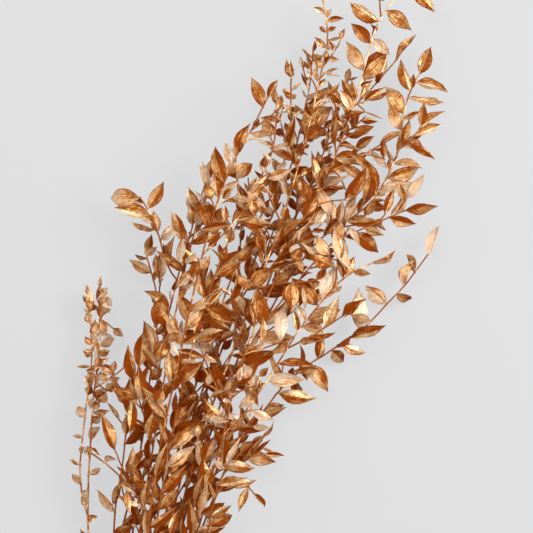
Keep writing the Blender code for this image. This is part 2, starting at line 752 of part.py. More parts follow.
def leaf_mesh(leaf, patterns):
    mesh = patterns[len(leaf.stations())].mesh.copy()
    points = leaf.points(patterns)
    if leaf.rests:
        low = min(range(len(points)), key=lambda index: points[index].z)
        points[low].z = 0.0
    mesh.vertices.foreach_set("co", [value for point in points for value in point])
    mesh.update()
    return mesh


def is_closed(mesh):
    shape = bmesh.new()
    shape.from_mesh(mesh)
    closed = all(len(edge.link_faces) == 2 for edge in shape.edges)
    shape.free()
    return closed


def union(name, meshes, collection, paint):
    """One solid from the first mesh and all the others, which are sunk into it."""
    body = bpy.data.objects.new(name, meshes[0])
    collection.objects.link(body)
    pieces = bpy.data.collections.new(name + "_pieces")
    bpy.context.scene.collection.children.link(pieces)
    for index, mesh in enumerate(meshes[1:]):
        pieces.objects.link(bpy.data.objects.new("%s_piece_%d" % (name, index), mesh))
    join = body.modifiers.new("join", "BOOLEAN")
    join.operation = "UNION"
    join.operand_type = "COLLECTION"
    join.collection = pieces
    for solver in ("EXACT", "MANIFOLD"):
        join.solver = solver
        seen = body.evaluated_get(bpy.context.evaluated_depsgraph_get())
        joined = bpy.data.meshes.new_from_object(seen)
        if is_closed(joined):
            break
    body.modifiers.clear()
    body.data = joined
    joined.name = name
    for piece in list(pieces.objects):
        bpy.data.objects.remove(piece, do_unlink=True)
    bpy.data.collections.remove(pieces)
    joined.materials.clear()
    joined.materials.append(paint)
    joined.shade_flat()
    return body


def build_stems(collection):
    bunch = Bunch()
    bodies = []
    for name in STEMS:
        solids = [bunch.tubes[axis] for axis in bunch.axes[name]]
        solids += [leaf_mesh(leaf, bunch.patterns) for leaf in bunch.leaves[name]]
        bodies.append(union(name, solids, collection, material(name + "_paint", LEAF_PAINT)))
    return bodies


def twine(name, points):
    curve = bpy.data.curves.new(name, "CURVE")
    curve.dimensions = "3D"
    curve.bevel_depth = TWINE_RADIUS
    curve.bevel_resolution = 1
    curve.use_fill_caps = True
    spline = curve.splines.new("POLY")
    spline.points.add(len(points) - 1)
    for node, point in zip(spline.points, points):
        node.co = (point.x, point.y, point.z, 1.0)
    return curve_to_mesh(name, curve)


def build_tie(collection):
    """Twine wound round the bare stems, its two ends knotted on top of the turns."""
    middle = bundle_height()
    ring = (bundle_radius() + PIECE_GAP) / math.cos(math.pi / TURN_STEPS) + TWINE_RADIUS
    over = ring + 2 * TWINE_RADIUS + PIECE_GAP
    half = TWINE_TURNS * TWINE_PITCH / 2
    turns = []
    steps = TWINE_TURNS * TURN_STEPS
    for step in range(steps + 1):
        angle = 2 * math.pi * step / TURN_STEPS
        turns.append(Vector((ring * math.sin(angle), -half + 2 * half * step / steps,
                             middle + ring * math.cos(angle))))
    knot = Vector((0.0, 0.0, middle + over + 0.4 * TWINE_RADIUS))
    aside, along = TWINE_END
    start = [knot - Vector((KNOT_RADIUS / 4, KNOT_RADIUS / 4, 0.0)),
             Vector((-aside, -half * along, middle + over))]
    finish = [Vector((aside, half * along, middle + over)),
              knot + Vector((KNOT_RADIUS / 4, KNOT_RADIUS / 4, 0.0))]
    coil = twine("twine_tie", start + turns + finish)
    tails = []
    for hand in (1.0, -1.0):
        route = [knot + Vector((x * hand, y, z)) for x, y, z in TAIL]
        tails.append(twine("tail", smooth_route(route, TAIL_SEGMENT)))
    ball = bmesh.new()
    bmesh.ops.create_uvsphere(ball, u_segments=10, v_segments=6, radius=KNOT_RADIUS)
    bmesh.ops.scale(ball, verts=ball.verts, vec=KNOT_SHAPE)
    bmesh.ops.translate(ball, verts=ball.verts, vec=knot)
    bead = bpy.data.meshes.new("knot")
    ball.to_mesh(bead)
    ball.free()
    tie = union("twine_tie", [coil, bead] + tails, collection, material("twine", TWINE_FIBRE))
    flatten(tie.data)
    return tie


def flatten(mesh):
    """The small flat spots that the turns rest on."""
    shape = bmesh.new()
    shape.from_mesh(mesh)
    everything = list(shape.verts) + list(shape.edges) + list(shape.faces)
    cut = bmesh.ops.bisect_plane(shape, geom=everything, plane_co=(0, 0, 0), plane_no=(0, 0, -1),
                                 clear_outer=True, dist=1e-7)
    edges = [item for item in cut["geom_cut"] if isinstance(item, bmesh.types.BMEdge)]
    bmesh.ops.edgeloop_fill(shape, edges=edges)
    bmesh.ops.triangulate(shape, faces=shape.faces)
    bmesh.ops.recalc_face_normals(shape, faces=shape.faces)
    shape.to_mesh(mesh)
    shape.free()


def centre(bodies):
    """Move everything so that the origin is under the middle of the whole bunch."""
    places = [vert.co for body in bodies for vert in body.data.vertices]
    across = (min(p.x for p in places) + max(p.x for p in places)) / 2
    along = (min(p.y for p in places) + max(p.y for p in places)) / 2
    for body in bodies:
        body.data.transform(Matrix.Translation((-across, -along, 0.0)))


def main():
    remove_everything()
    bunch = bpy.data.collections.new("dried_ruscus_bunch")
    bpy.context.scene.collection.children.link(bunch)
    bodies = build_stems(bunch)
    bodies.append(build_tie(bunch))
    centre(bodies)


main()
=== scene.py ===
import math
import random

import bmesh
import bpy
import numpy
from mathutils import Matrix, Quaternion, Vector
from mathutils.bvhtree import BVHTree


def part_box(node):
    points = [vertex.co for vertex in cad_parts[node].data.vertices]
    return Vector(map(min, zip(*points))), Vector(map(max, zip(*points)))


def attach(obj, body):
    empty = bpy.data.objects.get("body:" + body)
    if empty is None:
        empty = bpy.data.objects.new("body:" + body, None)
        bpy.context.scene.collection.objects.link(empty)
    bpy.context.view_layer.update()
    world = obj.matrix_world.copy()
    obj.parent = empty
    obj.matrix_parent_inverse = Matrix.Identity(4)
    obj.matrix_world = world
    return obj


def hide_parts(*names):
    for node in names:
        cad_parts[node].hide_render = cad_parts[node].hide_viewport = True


# A tied bunch of nineteen dried ruscus stems under copper-gold paint, lying on a pale table.
# Each leafy stem replaces its own CAD node. It grows by the rule that laid out the CAD model,
# with the same random draws, so that every leaf is where its solid is, and then gets more leaves.
# A seed is multiplied by round numbers only to keep the draws of stems and twigs apart.

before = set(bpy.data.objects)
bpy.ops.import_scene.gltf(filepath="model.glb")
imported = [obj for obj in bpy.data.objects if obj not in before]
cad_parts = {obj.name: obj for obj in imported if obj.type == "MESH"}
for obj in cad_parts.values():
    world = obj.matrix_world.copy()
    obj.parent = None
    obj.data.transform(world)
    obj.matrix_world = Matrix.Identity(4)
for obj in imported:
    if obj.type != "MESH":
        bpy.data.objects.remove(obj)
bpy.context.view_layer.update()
print("stage: frame loaded,", len(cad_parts), "nodes")

mm = 0.001

stemForm = dict(
    radius=0.0013, tipRadius=0.00075, twigRadius=0.0009, twigTipRadius=0.0007,
    segment=0.048, twigSegment=0.026, handle=0.100, handleVaries=0.022, splay=1.35)

twigRule = dict(  # side twigs that find their own way, angles in degrees
    tries=40, lengths=(0.045, 0.085), zone=(0.38, 0.86), apart=0.035, spread=(24, 42),
    turnVaries=28, lift=0.12, room=0.0012, freeStart=0.006, heights=(0.008, 0.114))

bunchForm = dict(
    tieAcross=120, tieBelow=190, slotPitch=0.0032, slotRows=(3, 4, 5, 4, 3), lowest=0.019,
    layerPitch=0.0049, spreadBy=0.270, closeFrom=0.330, closeTo=0.740, closedShare=0.72,
    highest=0.128, floorGap=0.0006, pieceGap=0.0003)

tieForm = dict(
    radius=0.0009, turns=5, pitch=0.0021, steps=11, flat=0.0003, knot=0.0024, tailSegment=0.004,
    tail=((0.0005, -0.0004, 0.0), (0.0065, 0.0035, -0.0002), (0.0105, 0.0105, -0.0042),
          (0.0125, 0.0222, -0.0052)))

leafForm = dict(  # a station is a share of the length, of the half width and of the thickness
    thick=0.0012, neckHalf=0.0009, neckThick=0.0010, neckLength=0.0024, large=0.018,
    largeStations=((0.40, 1.0, 1.0), (0.73, 0.78, 0.85)), smallStations=((0.46, 1.0, 0.9),),
    slimness=(0.37, 0.47), curl=(-12, 38), twist=(-26, 26), sunk=0.45, endSunk=0.0016)

growthRule = dict(
    leafyFrom=0.150, twigLeafyFrom=0.010, step=1.0, leastStep=0.016, stepVaries=(0.8, 1.2),
    smallerFrom=0.5, varies=(0.82, 1.14), spread=(28, 66), turnVaries=26, rollVaries=29,
    shownTilt=8, shownRoll=20, tipStrays=0.1, straysMoreBy=3, tries=26, tryTurns=4,
    tryShortens=0.013,
    room=0.0004, ownStemGap=0.08, gapShares=(0.4, 0.6, 0.8, 1.0), crowding=0.22,
    twigFootCrowding=0.005, seed=41)

fillRule = dict(  # the extra leaves and small twigs, which are only in this scene
    seed=977, tries=12, crowding=0.07, crowdingEases=0.6, room=-0.0005, start=0.12,
    twigStart=0.004, endGap=0.003, spreads=((8, 34), (22, 62)), spreadTo=0.330, turn=137,
    # tones: dark tones for the extra leaves, painted shade for the inside of the bunch
    thin=0.12, thick=2.0, closer=0.5, stepVaries=(0.7, 1.3), tones=(0.0, 0.30),
    passes=(dict(step=0.75, leastStep=0.0085, sizes=(0.62, 1.02), clump=0.042, share=0.41,
                 crumple=(0.0, 0.45), above=0.0),
            dict(step=0.42, leastStep=0.0060, sizes=(0.34, 0.62), clump=0.030, share=0.34,
                 crumple=(0.2, 0.9), above=0.55)))

fillTwigRule = dict(
    twigRule, number=5, tries=14, lengths=(0.022, 0.052), zone=(0.42, 0.97), apart=0.013,
    spread=(20, 52), turnVaries=70)

# where the photo's bunch is thicker than elsewhere, or thinner where more is below nought: across,
# along, reach, how much more, and the leaf length there
thickSpots = [(350, 425, 36, 1.0, 30), (350, 365, 40, 1.0, 26), (342, 325, 46, 0.6, 30),
              (300, 345, 46, 0.6, 26), (300, 280, 40, 0.5, 28), (235, 305, 34, 0.5, 26),
              (375, 505, 32, 0.3, 30), (190, 220, 36, 0.4, 32), (307, 144, 24, 0.8, 26),
              (210, 110, 40, 0.4, 34), (180, 60, 36, 0.6, 36), (300, 390, 40, 0.3, 24),
              (348, 349, 24, 0.5, 28), (225, 308, 22, 0.3, 28), (430, 431, 24, 0.5, 26),
              (155, 105, 34, 0.7, 36), (155, 25, 34, 0.5, 36),
              (143, 185, 32, -1.3, 0), (262, 192, 28, -1.2, 0), (235, 25, 20, -0.8, 0),
              (389, 472, 26, -0.8, 0), (389, 267, 26, -0.8, 0), (348, 226, 22, -0.5, 0),
              (102, 60, 40, -0.5, 0), (225, 350, 20, -0.7, 0), (225, 226, 20, -0.6, 0)]

# order runs from the lowest layer to the highest, and leaf is the leaf length low down and at the
# tip. Routes are (across, along) in millimetres from the view's lower left corner, a twig has its
# rise before its route, and a leaf is its foot, its tip and how pale it looks, which is partly its
# paint and partly painted highlight and shade.
stems = {
    "stem_01": dict(
        order=2, leaf=(14, 12), wildTwigs=0,
        route=[(85, 0), (86, 53), (88, 83), (91, 133), (97, 178), (98, 198), (97, 246)],
        twigs=[(7, [(85, 13), (79, 35), (77, 63), (80, 93), (85, 133), (90, 173), (87, 238)]),
               (5, [(92, 143), (109, 153), (123, 165)]),
               (3, [(88, 78), (103, 68), (119, 54)]),
               (-3, [(98, 213), (105, 209), (112, 203)])],
        leaves=[(77, 66, 66, 72, 0.7), (80, 93, 70, 96, 0.66), (88, 83, 98, 74, 0.7),
                (92, 118, 109, 119, 0.62), (84, 40, 78, 30, 0.6), (98, 200, 112, 194, 0.7),
                (87, 238, 84, 251, 0.65), (87, 229, 80, 238, 0.7), (97, 239, 106, 246, 0.75),
                (97, 229, 107, 235, 0.66), (97, 220, 104, 229, 0.7), (97, 221, 89, 229, 0.6),
                (88, 217, 82, 226, 0.65), (98, 207, 90, 214, 0.7), (97, 246, 97, 259, 0.6)]),
    "stem_02": dict(
        order=9, leaf=(34, 31), wildTwigs=0,
        route=[(113, 0), (116, 33), (122, 60), (126, 100), (132, 140), (140, 172)],
        twigs=[],
        leaves=[(124, 118, 132, 158, 0.3), (121, 50, 113, 26, 0.45), (138, 165, 146, 203, 0.3)]),
    "stem_03": dict(
        order=5, leaf=(33, 24), wildTwigs=0,
        route=[(120, 0), (128, 30), (140, 83), (150, 163), (157, 236), (150, 263), (144, 282)],
        twigs=[(4, [(158, 232), (160, 246), (158, 258)])],
        leaves=[(149, 260, 126, 272, 0.45), (154, 232, 135, 247, 0.3),
                (152, 176, 145, 214, 0.45), (144, 280, 152, 299, 0.25), (159, 252, 161, 282, 0.55)]),
    "stem_04": dict(
        order=10, leaf=(35, 28), wildTwigs=1,
        route=[(132, 0), (145, 63), (155, 133), (165, 203), (177, 253), (192, 305), (206, 352)],
        twigs=[(6, [(177, 253), (166, 268), (164, 283), (158, 300), (152, 318), (140, 336)])],
        leaves=[(140, 336, 102, 335, 0.6), (151, 318, 115, 325, 0.5), (155, 310, 133, 325, 0.5),
                (153, 326, 167, 351, 0.35), (159, 300, 154, 324, 0.45),
                (157, 300, 142, 312, 0.8), (162, 292, 183, 314, 0.88)]),
    "stem_05": dict(
        order=14, leaf=(37, 29), wildTwigs=2,
        route=[(140, 0), (155, 93), (170, 183), (185, 263), (200, 318), (208, 346)],
        twigs=[(5, [(182, 248), (186, 278), (182, 300)])],
        leaves=[(206, 344, 200, 372, 0.97), (184, 290, 178, 322, 0.5)]),
    "stem_06": dict(
        order=18, leaf=(38, 28), wildTwigs=2,
        route=[(148, 0), (163, 93), (180, 173), (200, 263), (222, 343), (240, 383), (250, 398),
               (268, 434)],
        twigs=[],
        leaves=[(261, 424, 254, 456, 0.4), (236, 377, 247, 411, 0.15),
                (222, 350, 213, 389, 0.35), (227, 356, 259, 369, 0.25),
                (251, 398, 273, 394, 0.45), (232, 366, 228, 392, 0.95)]),
    "stem_07": dict(
        order=15, leaf=(36, 16), wildTwigs=2,
        route=[(155, 0), (172, 93), (195, 193), (225, 283), (255, 343), (274, 383), (277, 421)],
        twigs=[],
        leaves=[]),
    "stem_08": dict(
        order=8, leaf=(36, 13), wildTwigs=2,
        route=[(162, 0), (180, 93), (210, 193), (245, 288), (275, 343), (291, 393), (291, 460)],
        twigs=[],
        leaves=[(291, 456, 287, 476, 0.4)]),
    "stem_09": dict(
        order=1, leaf=(36, 13), wildTwigs=2,
        route=[(168, 0), (190, 93), (225, 193), (262, 293), (293, 373), (309, 440), (314, 486)],
        twigs=[(4, [(309, 445), (303, 470)])],
        leaves=[]),
    "stem_10": dict(
        order=11, leaf=(36, 12), wildTwigs=2,
        route=[(175, 0), (200, 93), (235, 188), (275, 293), (303, 383), (320, 455), (329, 496),
               (323, 533)],
        twigs=[(4, [(323, 466), (336, 482), (341, 495)])],
        leaves=[(329, 512, 344, 517, 0.45), (327, 520, 313, 526, 0.5)]),
    "stem_11": dict(
        order=6, leaf=(36, 20), wildTwigs=2,
        route=[(180, 0), (208, 93), (245, 193), (290, 303), (325, 383), (343, 440), (348, 452)],
        twigs=[],
        leaves=[(330, 400, 301, 407, 0.4), (348, 450, 350, 470, 0.6)]),
    "stem_12": dict(
        order=12, leaf=(37, 33), wildTwigs=2,
        route=[(186, 0), (215, 98), (252, 198), (300, 308), (340, 388), (362, 453), (371, 493),
               (379, 513), (393, 533), (412, 549)],
        twigs=[],
        leaves=[(378, 512, 346, 527, 0.45), (386, 523, 413, 503, 0.4),
                (370, 489, 351, 512, 0.25), (366, 460, 393, 485, 0.15),
                (364, 462, 344, 493, 0.6), (372, 494, 389, 477, 0.85), (412, 549, 438, 522, 0.5),
                (326, 358, 361, 379, 0.12)]),
    "stem_13": dict(
        order=7, leaf=(37, 35), wildTwigs=1,
        route=[(190, 0), (220, 103), (265, 213), (320, 295), (368, 326), (388, 355), (400, 386),
               (405, 426), (413, 448), (421, 461)],
        twigs=[(6, [(400, 383), (413, 395), (422, 408)])],
        leaves=[(421, 461, 438, 494, 0.35), (417, 451, 454, 450, 0.45),
                (409, 436, 447, 440, 0.45), (422, 408, 427, 433, 0.35),
                (421, 405, 451, 429, 0.45), (415, 397, 444, 410, 0.45),
                (402, 388, 441, 392, 0.55), (395, 370, 426, 370, 0.5),
                (388, 354, 427, 364, 0.55), (380, 340, 419, 352, 0.85),
                (377, 336, 394, 349, 0.3), (404, 420, 385, 450, 0.4), (420, 461, 403, 484, 0.5),
                (410, 443, 400, 475, 0.45), (376, 336, 366, 382, 0.5), (334, 304, 318, 348, 0.75)]),
    "stem_14": dict(
        order=16, leaf=(37, 33), wildTwigs=1,
        route=[(193, 0), (225, 103), (243, 178), (290, 243), (330, 290), (378, 311), (404, 322)],
        twigs=[(4, [(243, 180), (262, 186), (280, 191), (293, 197)])],
        leaves=[(340, 297, 342, 262, 0.6), (362, 306, 384, 298, 0.65),
                (293, 196, 262, 180, 0.35), (281, 191, 280, 230, 0.98), (330, 291, 352, 262, 0.95)]),
    "stem_15": dict(
        order=13, leaf=(37, 33), wildTwigs=1,
        route=[(197, 0), (227, 93), (268, 155), (300, 206), (335, 248), (352, 262), (372, 270)],
        twigs=[],
        leaves=[(306, 213, 342, 225, 0.6), (301, 207, 334, 204, 0.7), (322, 232, 336, 268, 0.9),
                (267, 154, 305, 152, 0.9), (352, 262, 371, 258, 0.4)]),
    "stem_16": dict(
        order=3, leaf=(36, 34), wildTwigs=0,
        route=[(201, 0), (235, 83), (268, 126), (283, 146), (305, 165), (350, 193), (375, 213),
               (387, 228), (405, 245), (430, 279)],
        twigs=[],
        leaves=[(430, 279, 443, 312, 0.97), (405, 245, 411, 277, 0.6),
                (361, 202, 359, 246, 0.92), (387, 229, 363, 250, 0.75),
                (342, 188, 368, 175, 0.75), (373, 211, 348, 218, 0.6), (277, 139, 318, 129, 0.5),
                (258, 115, 288, 122, 0.35), (310, 168, 330, 140, 0.45)]),
    "stem_17": dict(
        order=4, leaf=(28, 24), wildTwigs=0,
        route=[(205, 0), (217, 45), (232, 72), (262, 93)],
        twigs=[(4, [(238, 77), (254, 76), (266, 78)])],
        leaves=[(266, 78, 287, 75, 0.3), (244, 77, 276, 66, 0.55), (250, 86, 266, 99, 0.35)]),
    "stem_18": dict(
        order=17, leaf=(29, 24), wildTwigs=0,
        route=[(208, 0), (213, 33), (225, 56), (246, 53), (255, 42)],
        twigs=[],
        leaves=[(210, 18, 232, 31, 0.5), (208, 10, 237, 22, 0.35), (249, 50, 237, 26, 0.45),
                (228, 56, 256, 56, 0.65)]),
    "stem_19": dict(
        order=0, leaf=(37, 31), wildTwigs=2,
        route=[(160, 0), (178, 70), (202, 143), (240, 233), (288, 303), (318, 360)],
        twigs=[],
        leaves=[]),
}

restingLeaves = {  # leaves whose tips touch the table: foot and tip
    "stem_01": [(88, 90, 93, 103), (96, 175, 90, 187), (98, 228, 107, 238)],
    "stem_16": [(332, 182, 347, 166), (398, 238, 415, 233), (292, 155, 300, 132)],
    "stem_09": [(306, 428, 322, 440), (272, 318, 256, 332)],
    "stem_19": [(172, 52, 160, 75), (225, 200, 210, 218), (300, 326, 322, 336)],
}

# the leaves at the front of the bunch in the photo, which are only in this scene: foot and tip
# as above, the width in millimetres, how pale it looks and, for some, how crumpled it is
frontLeaves = [
    (330, 503, 337, 506, 6, 0.4), (329, 492, 345, 496, 4, 0.4), (325, 485, 315, 497, 8, 0.4),
    (328, 493, 333, 482, 6, 0.3), (325, 473, 326, 484, 6, 0.45), (312, 478, 302, 488, 4, 0.3),
    (312, 467, 306, 482, 5, 0.5), (313, 475, 323, 481, 9, 0.5, 0.5),
    (323, 465, 316, 474, 8, 0.45, 0.5), (326, 461, 340, 466, 4, 0.4),
    (325, 460, 340, 456, 4, 0.9), (311, 449, 301, 464, 4, 0.3), (310, 456, 305, 465, 5, 0.8),
    (310, 436, 303, 448, 4, 0.85), (293, 443, 303, 453, 5, 0.8), (292, 455, 290, 474, 5, 0.5),
    (290, 440, 282, 445, 6, 0.3), (284, 426, 283, 441, 6, 0.4), (291, 429, 281, 421, 9, 0.8, 0.6),
    (290, 421, 298, 417, 5, 0.8), (292, 435, 297, 439, 5, 0.6), (365, 432, 371, 450, 8, 0.88),
    (364, 430, 388, 447, 9, 0.3), (357, 435, 352, 454, 8, 0.55), (352, 437, 340, 455, 11, 0.3),
    (326, 436, 342, 450, 8, 0.35), (341, 432, 331, 442, 9, 0.08),
    (350, 423, 343, 443, 14, 0.65, 0.3), (303, 407, 334, 432, 25, 0.4, 0.15),
    (313, 434, 328, 441, 8, 0.35), (328, 433, 334, 440, 4, 0.88), (330, 432, 346, 425, 4, 0.85),
    (334, 416, 333, 429, 5, 0.9), (345, 418, 363, 422, 11, 0.25, 0.8),
    (365, 420, 384, 411, 3, 0.5), (338, 413, 352, 404, 4, 0.88),
    (323, 407, 335, 417, 8, 0.3, 0.6), (349, 456, 360, 458, 3, 0.5),
    (354, 399, 376, 408, 10, 0.2), (343, 387, 363, 382, 5, 0.65), (385, 373, 383, 393, 8, 0.3),
    (391, 372, 387, 385, 6, 0.7), (390, 366, 367, 385, 8, 0.88), (372, 360, 364, 329, 15, 0.12),
    (368, 365, 352, 379, 10, 0.35), (346, 333, 368, 365, 18, 0.12), (328, 347, 350, 360, 5, 0.92),
    (345, 343, 329, 346, 9, 0.3, 0.7), (346, 327, 358, 339, 8, 0.55),
    (331, 318, 317, 351, 14, 0.8), (304, 316, 316, 343, 14, 0.12), (316, 309, 328, 321, 12, 0.88),
    (338, 310, 343, 334, 8, 0.7), (345, 312, 358, 333, 9, 0.9), (366, 317, 379, 334, 11, 0.4),
    (377, 314, 343, 308, 9, 0.3), (348, 307, 361, 290, 8, 0.88), (337, 291, 341, 311, 11, 0.6),
    (384, 319, 393, 346, 11, 0.3), (402, 332, 397, 350, 7, 0.5), (404, 334, 425, 359, 12, 0.88),
    (402, 391, 411, 415, 12, 0.3, 0.4), (397, 377, 399, 403, 5, 0.4),
    (401, 415, 424, 421, 9, 0.55), (258, 393, 272, 385, 4, 0.88), (270, 395, 262, 416, 10, 0.6),
    (275, 381, 289, 389, 6, 0.85), (274, 372, 262, 381, 6, 0.85), (275, 384, 265, 390, 6, 0.5),
    (275, 365, 287, 372, 8, 0.88), (270, 359, 260, 368, 5, 0.88),
    (268, 354, 294, 364, 12, 0.7, 0.8), (249, 343, 257, 357, 7, 0.5),
    (250, 338, 244, 349, 5, 0.2), (253, 339, 261, 349, 9, 0.35), (268, 323, 253, 340, 6, 0.88),
    (262, 348, 273, 337, 6, 0.75), (222, 336, 240, 352, 10, 0.88), (225, 333, 232, 345, 8, 0.3),
    (212, 346, 201, 368, 7, 0.88), (225, 355, 234, 373, 7, 0.5), (212, 333, 205, 351, 9, 0.22),
    (209, 330, 197, 343, 6, 0.8), (192, 307, 191, 331, 11, 0.5), (196, 307, 203, 327, 11, 0.88),
    (214, 313, 223, 325, 7, 0.08), (201, 304, 232, 310, 10, 0.3), (226, 311, 226, 328, 8, 0.5),
    (250, 332, 235, 338, 8, 0.78), (247, 322, 232, 335, 4, 0.92),
    (257, 317, 253, 334, 13, 0.35, 0.5), (231, 310, 239, 327, 6, 0.05),
    (262, 307, 241, 312, 13, 0.3, 0.4), (229, 288, 231, 305, 12, 0.5),
    (180, 283, 185, 295, 6, 0.88), (188, 293, 186, 308, 8, 0.25), (204, 291, 222, 301, 11, 0.35),
    (276, 287, 309, 315, 13, 0.35), (298, 331, 308, 343, 8, 0.85), (275, 287, 286, 308, 9, 0.5),
    (285, 327, 283, 311, 9, 0.3), (142, 276, 156, 287, 9, 0.65), (145, 286, 150, 297, 8, 0.25),
    (155, 208, 165, 240, 18, 0.22), (169, 231, 170, 245, 4, 0.88), (168, 195, 158, 173, 17, 0.4),
    (179, 178, 172, 195, 6, 0.85), (172, 183, 174, 144, 13, 0.45), (180, 271, 183, 295, 10, 0.88),
    (186, 270, 198, 281, 8, 0.88), (192, 256, 200, 276, 10, 0.22), (203, 263, 212, 277, 10, 0.68),
    (178, 245, 194, 263, 12, 0.7, 0.7), (181, 243, 197, 250, 5, 0.85),
    (181, 235, 190, 245, 9, 0.4), (202, 230, 183, 201, 14, 0.55), (202, 216, 195, 200, 11, 0.12),
    (204, 230, 233, 212, 12, 0.33), (206, 219, 232, 203, 9, 0.25), (210, 229, 223, 242, 6, 0.45),
    (233, 239, 219, 247, 6, 0.7), (219, 233, 233, 224, 6, 0.5), (236, 260, 251, 244, 11, 0.4),
    (217, 255, 244, 272, 12, 0.25), (237, 271, 252, 288, 13, 0.35), (218, 271, 228, 288, 8, 0.2),
    (222, 193, 211, 212, 11, 0.4), (214, 182, 186, 189, 11, 0.82), (208, 179, 218, 172, 7, 0.88),
    (214, 176, 217, 190, 6, 0.2), (200, 172, 184, 176, 5, 0.85), (168, 194, 182, 201, 8, 0.4),
    (181, 191, 200, 200, 9, 0.3), (172, 219, 179, 201, 8, 0.55), (180, 202, 183, 214, 5, 0.88),
    (224, 181, 233, 193, 10, 0.2), (222, 195, 239, 203, 9, 0.5), (256, 200, 250, 185, 9, 0.88),
    (298, 202, 294, 225, 8, 0.35), (305, 212, 295, 230, 9, 0.8, 0.4),
    (323, 195, 321, 177, 8, 0.5), (300, 189, 313, 195, 9, 0.22), (317, 229, 292, 254, 19, 0.18),
    (292, 253, 291, 225, 20, 0.42, 0.2), (304, 247, 307, 223, 6, 0.8),
    (306, 259, 295, 266, 5, 0.3), (292, 270, 303, 286, 12, 0.18), (280, 277, 288, 289, 8, 0.5),
    (290, 280, 296, 288, 5, 0.93), (336, 266, 303, 291, 11, 0.88), (333, 266, 311, 279, 16, 0.33),
    (345, 257, 354, 277, 10, 0.45), (336, 242, 344, 247, 5, 0.4),
    (330, 277, 315, 296, 17, 0.6, 0.6), (341, 272, 336, 307, 12, 0.72),
    (90, 222, 86, 245, 14, 0.62, 0.4), (96, 227, 99, 250, 8, 0.3),
    (97, 230, 105, 243, 10, 0.78, 0.3), (99, 215, 103, 236, 14, 0.52, 0.4),
    (104, 222, 110, 225, 5, 0.88), (92, 197, 93, 213, 13, 0.52, 0.5),
    (98, 211, 104, 198, 12, 0.62, 0.5), (88, 187, 82, 196, 8, 0.42), (93, 187, 95, 198, 6, 0.68),
    (100, 186, 114, 193, 10, 0.6), (89, 176, 81, 183, 9, 0.62, 0.3), (99, 176, 108, 182, 9, 0.42),
    (92, 165, 73, 166, 4, 0.62), (95, 162, 83, 162, 5, 0.5), (97, 164, 98, 176, 9, 0.5, 0.5),
    (100, 167, 115, 159, 14, 0.45, 0.8), (112, 162, 114, 173, 8, 0.68),
    (99, 160, 106, 150, 10, 0.55, 0.3), (88, 146, 88, 160, 5, 0.4), (96, 142, 96, 155, 5, 0.88),
    (95, 132, 105, 142, 16, 0.55, 0.6), (105, 140, 114, 146, 10, 0.5, 0.4),
    (92, 124, 98, 133, 10, 0.55, 0.3), (119, 114, 107, 133, 7, 0.55),
    (134, 135, 132, 102, 11, 0.3), (147, 133, 139, 171, 11, 0.35), (150, 152, 162, 165, 13, 0.25),
    (158, 134, 165, 149, 12, 0.12), (152, 132, 166, 134, 6, 0.85), (149, 99, 155, 127, 14, 0.35),
    (127, 97, 128, 118, 9, 0.35), (133, 72, 136, 91, 9, 0.45), (134, 51, 137, 71, 9, 0.22),
    (121, 53, 139, 48, 6, 0.88), (121, 53, 138, 43, 4, 0.85), (118, 48, 116, 32, 5, 0.3),
    (127, 47, 131, 23, 9, 0.6, 0.5), (143, 27, 149, 57, 9, 0.5), (144, 0, 147, 30, 9, 0.65),
    (137, 9, 131, 11, 4, 0.92), (160, 59, 167, 93, 13, 0.28), (163, 54, 172, 92, 6, 0.7),
    (170, 85, 204, 116, 16, 0.45), (166, 68, 197, 89, 15, 0.75),
    (199, 112, 199, 97, 10, 0.62, 0.5), (195, 91, 202, 94, 4, 0.9), (201, 114, 219, 128, 7, 0.88),
    (209, 119, 229, 114, 8, 0.92), (206, 115, 228, 107, 6, 0.85), (227, 123, 242, 112, 8, 0.88),
    (230, 107, 246, 120, 10, 0.4), (203, 72, 213, 100, 13, 0.3), (208, 74, 219, 85, 8, 0.55),
    (224, 70, 226, 99, 14, 0.1), (227, 70, 241, 99, 8, 0.9), (226, 67, 215, 76, 7, 0.92),
    (205, 50, 214, 70, 11, 0.35), (201, 17, 208, 55, 9, 0.62), (217, 53, 246, 61, 11, 0.62),
    (217, 52, 250, 49, 8, 0.55), (161, 24, 181, 48, 11, 0.42), (166, 40, 190, 69, 14, 0.28),
    (190, 1, 194, 36, 13, 0.3), (171, 0, 176, 27, 10, 0.35), (196, 30, 200, 65, 11, 0.28),
    (309, 165, 306, 151, 12, 0.35), (318, 163, 293, 163, 9, 0.35), (252, 125, 277, 115, 11, 0.88),
    (254, 108, 272, 107, 7, 0.85), (259, 159, 268, 168, 8, 0.35),
    (255, 149, 246, 172, 14, 0.88, 0.5), (240, 154, 244, 170, 8, 0.88),
    (250, 144, 260, 161, 9, 0.72), (246, 152, 261, 129, 11, 0.33), (240, 129, 252, 140, 9, 0.88),
    (228, 142, 241, 146, 6, 0.45), (224, 137, 232, 132, 5, 0.92), (207, 150, 209, 161, 7, 0.92),
    (210, 138, 230, 146, 7, 0.5), (240, 74, 254, 92, 13, 0.28), (242, 66, 263, 96, 7, 0.42),
    (263, 85, 277, 81, 5, 0.4)]

frontRule = dict(  # angles in degrees
    seed=5100, reach=0.0040, farthest=0.034, nearest=4, longest=0.050, tiltVaries=3.0, roll=10,
    tilts=(4, 12, -4, 20, 30, -12, 42), curl=0.5, shares=(0.3, 0.5, 0.7, 0.95), noRoom=1.6,
    heights=(0.004, 0.122), seenFrom=(0.001, 0.2), good=0.76, inView=0.7, mayHide=(0.3, 0.6, 0.9),
    rises=(0.0, 0.007, 0.014, 0.022, 0.030), riseCosts=4.0, awayCosts=6.0,
    spurTilts=(4, 14, -6, 24), spurBack=(0.7, 0.005), spurFrom=0.006, spurBow=0.12, spurPieces=3)


# growth: the CAD source's rule, and what this scene adds to it

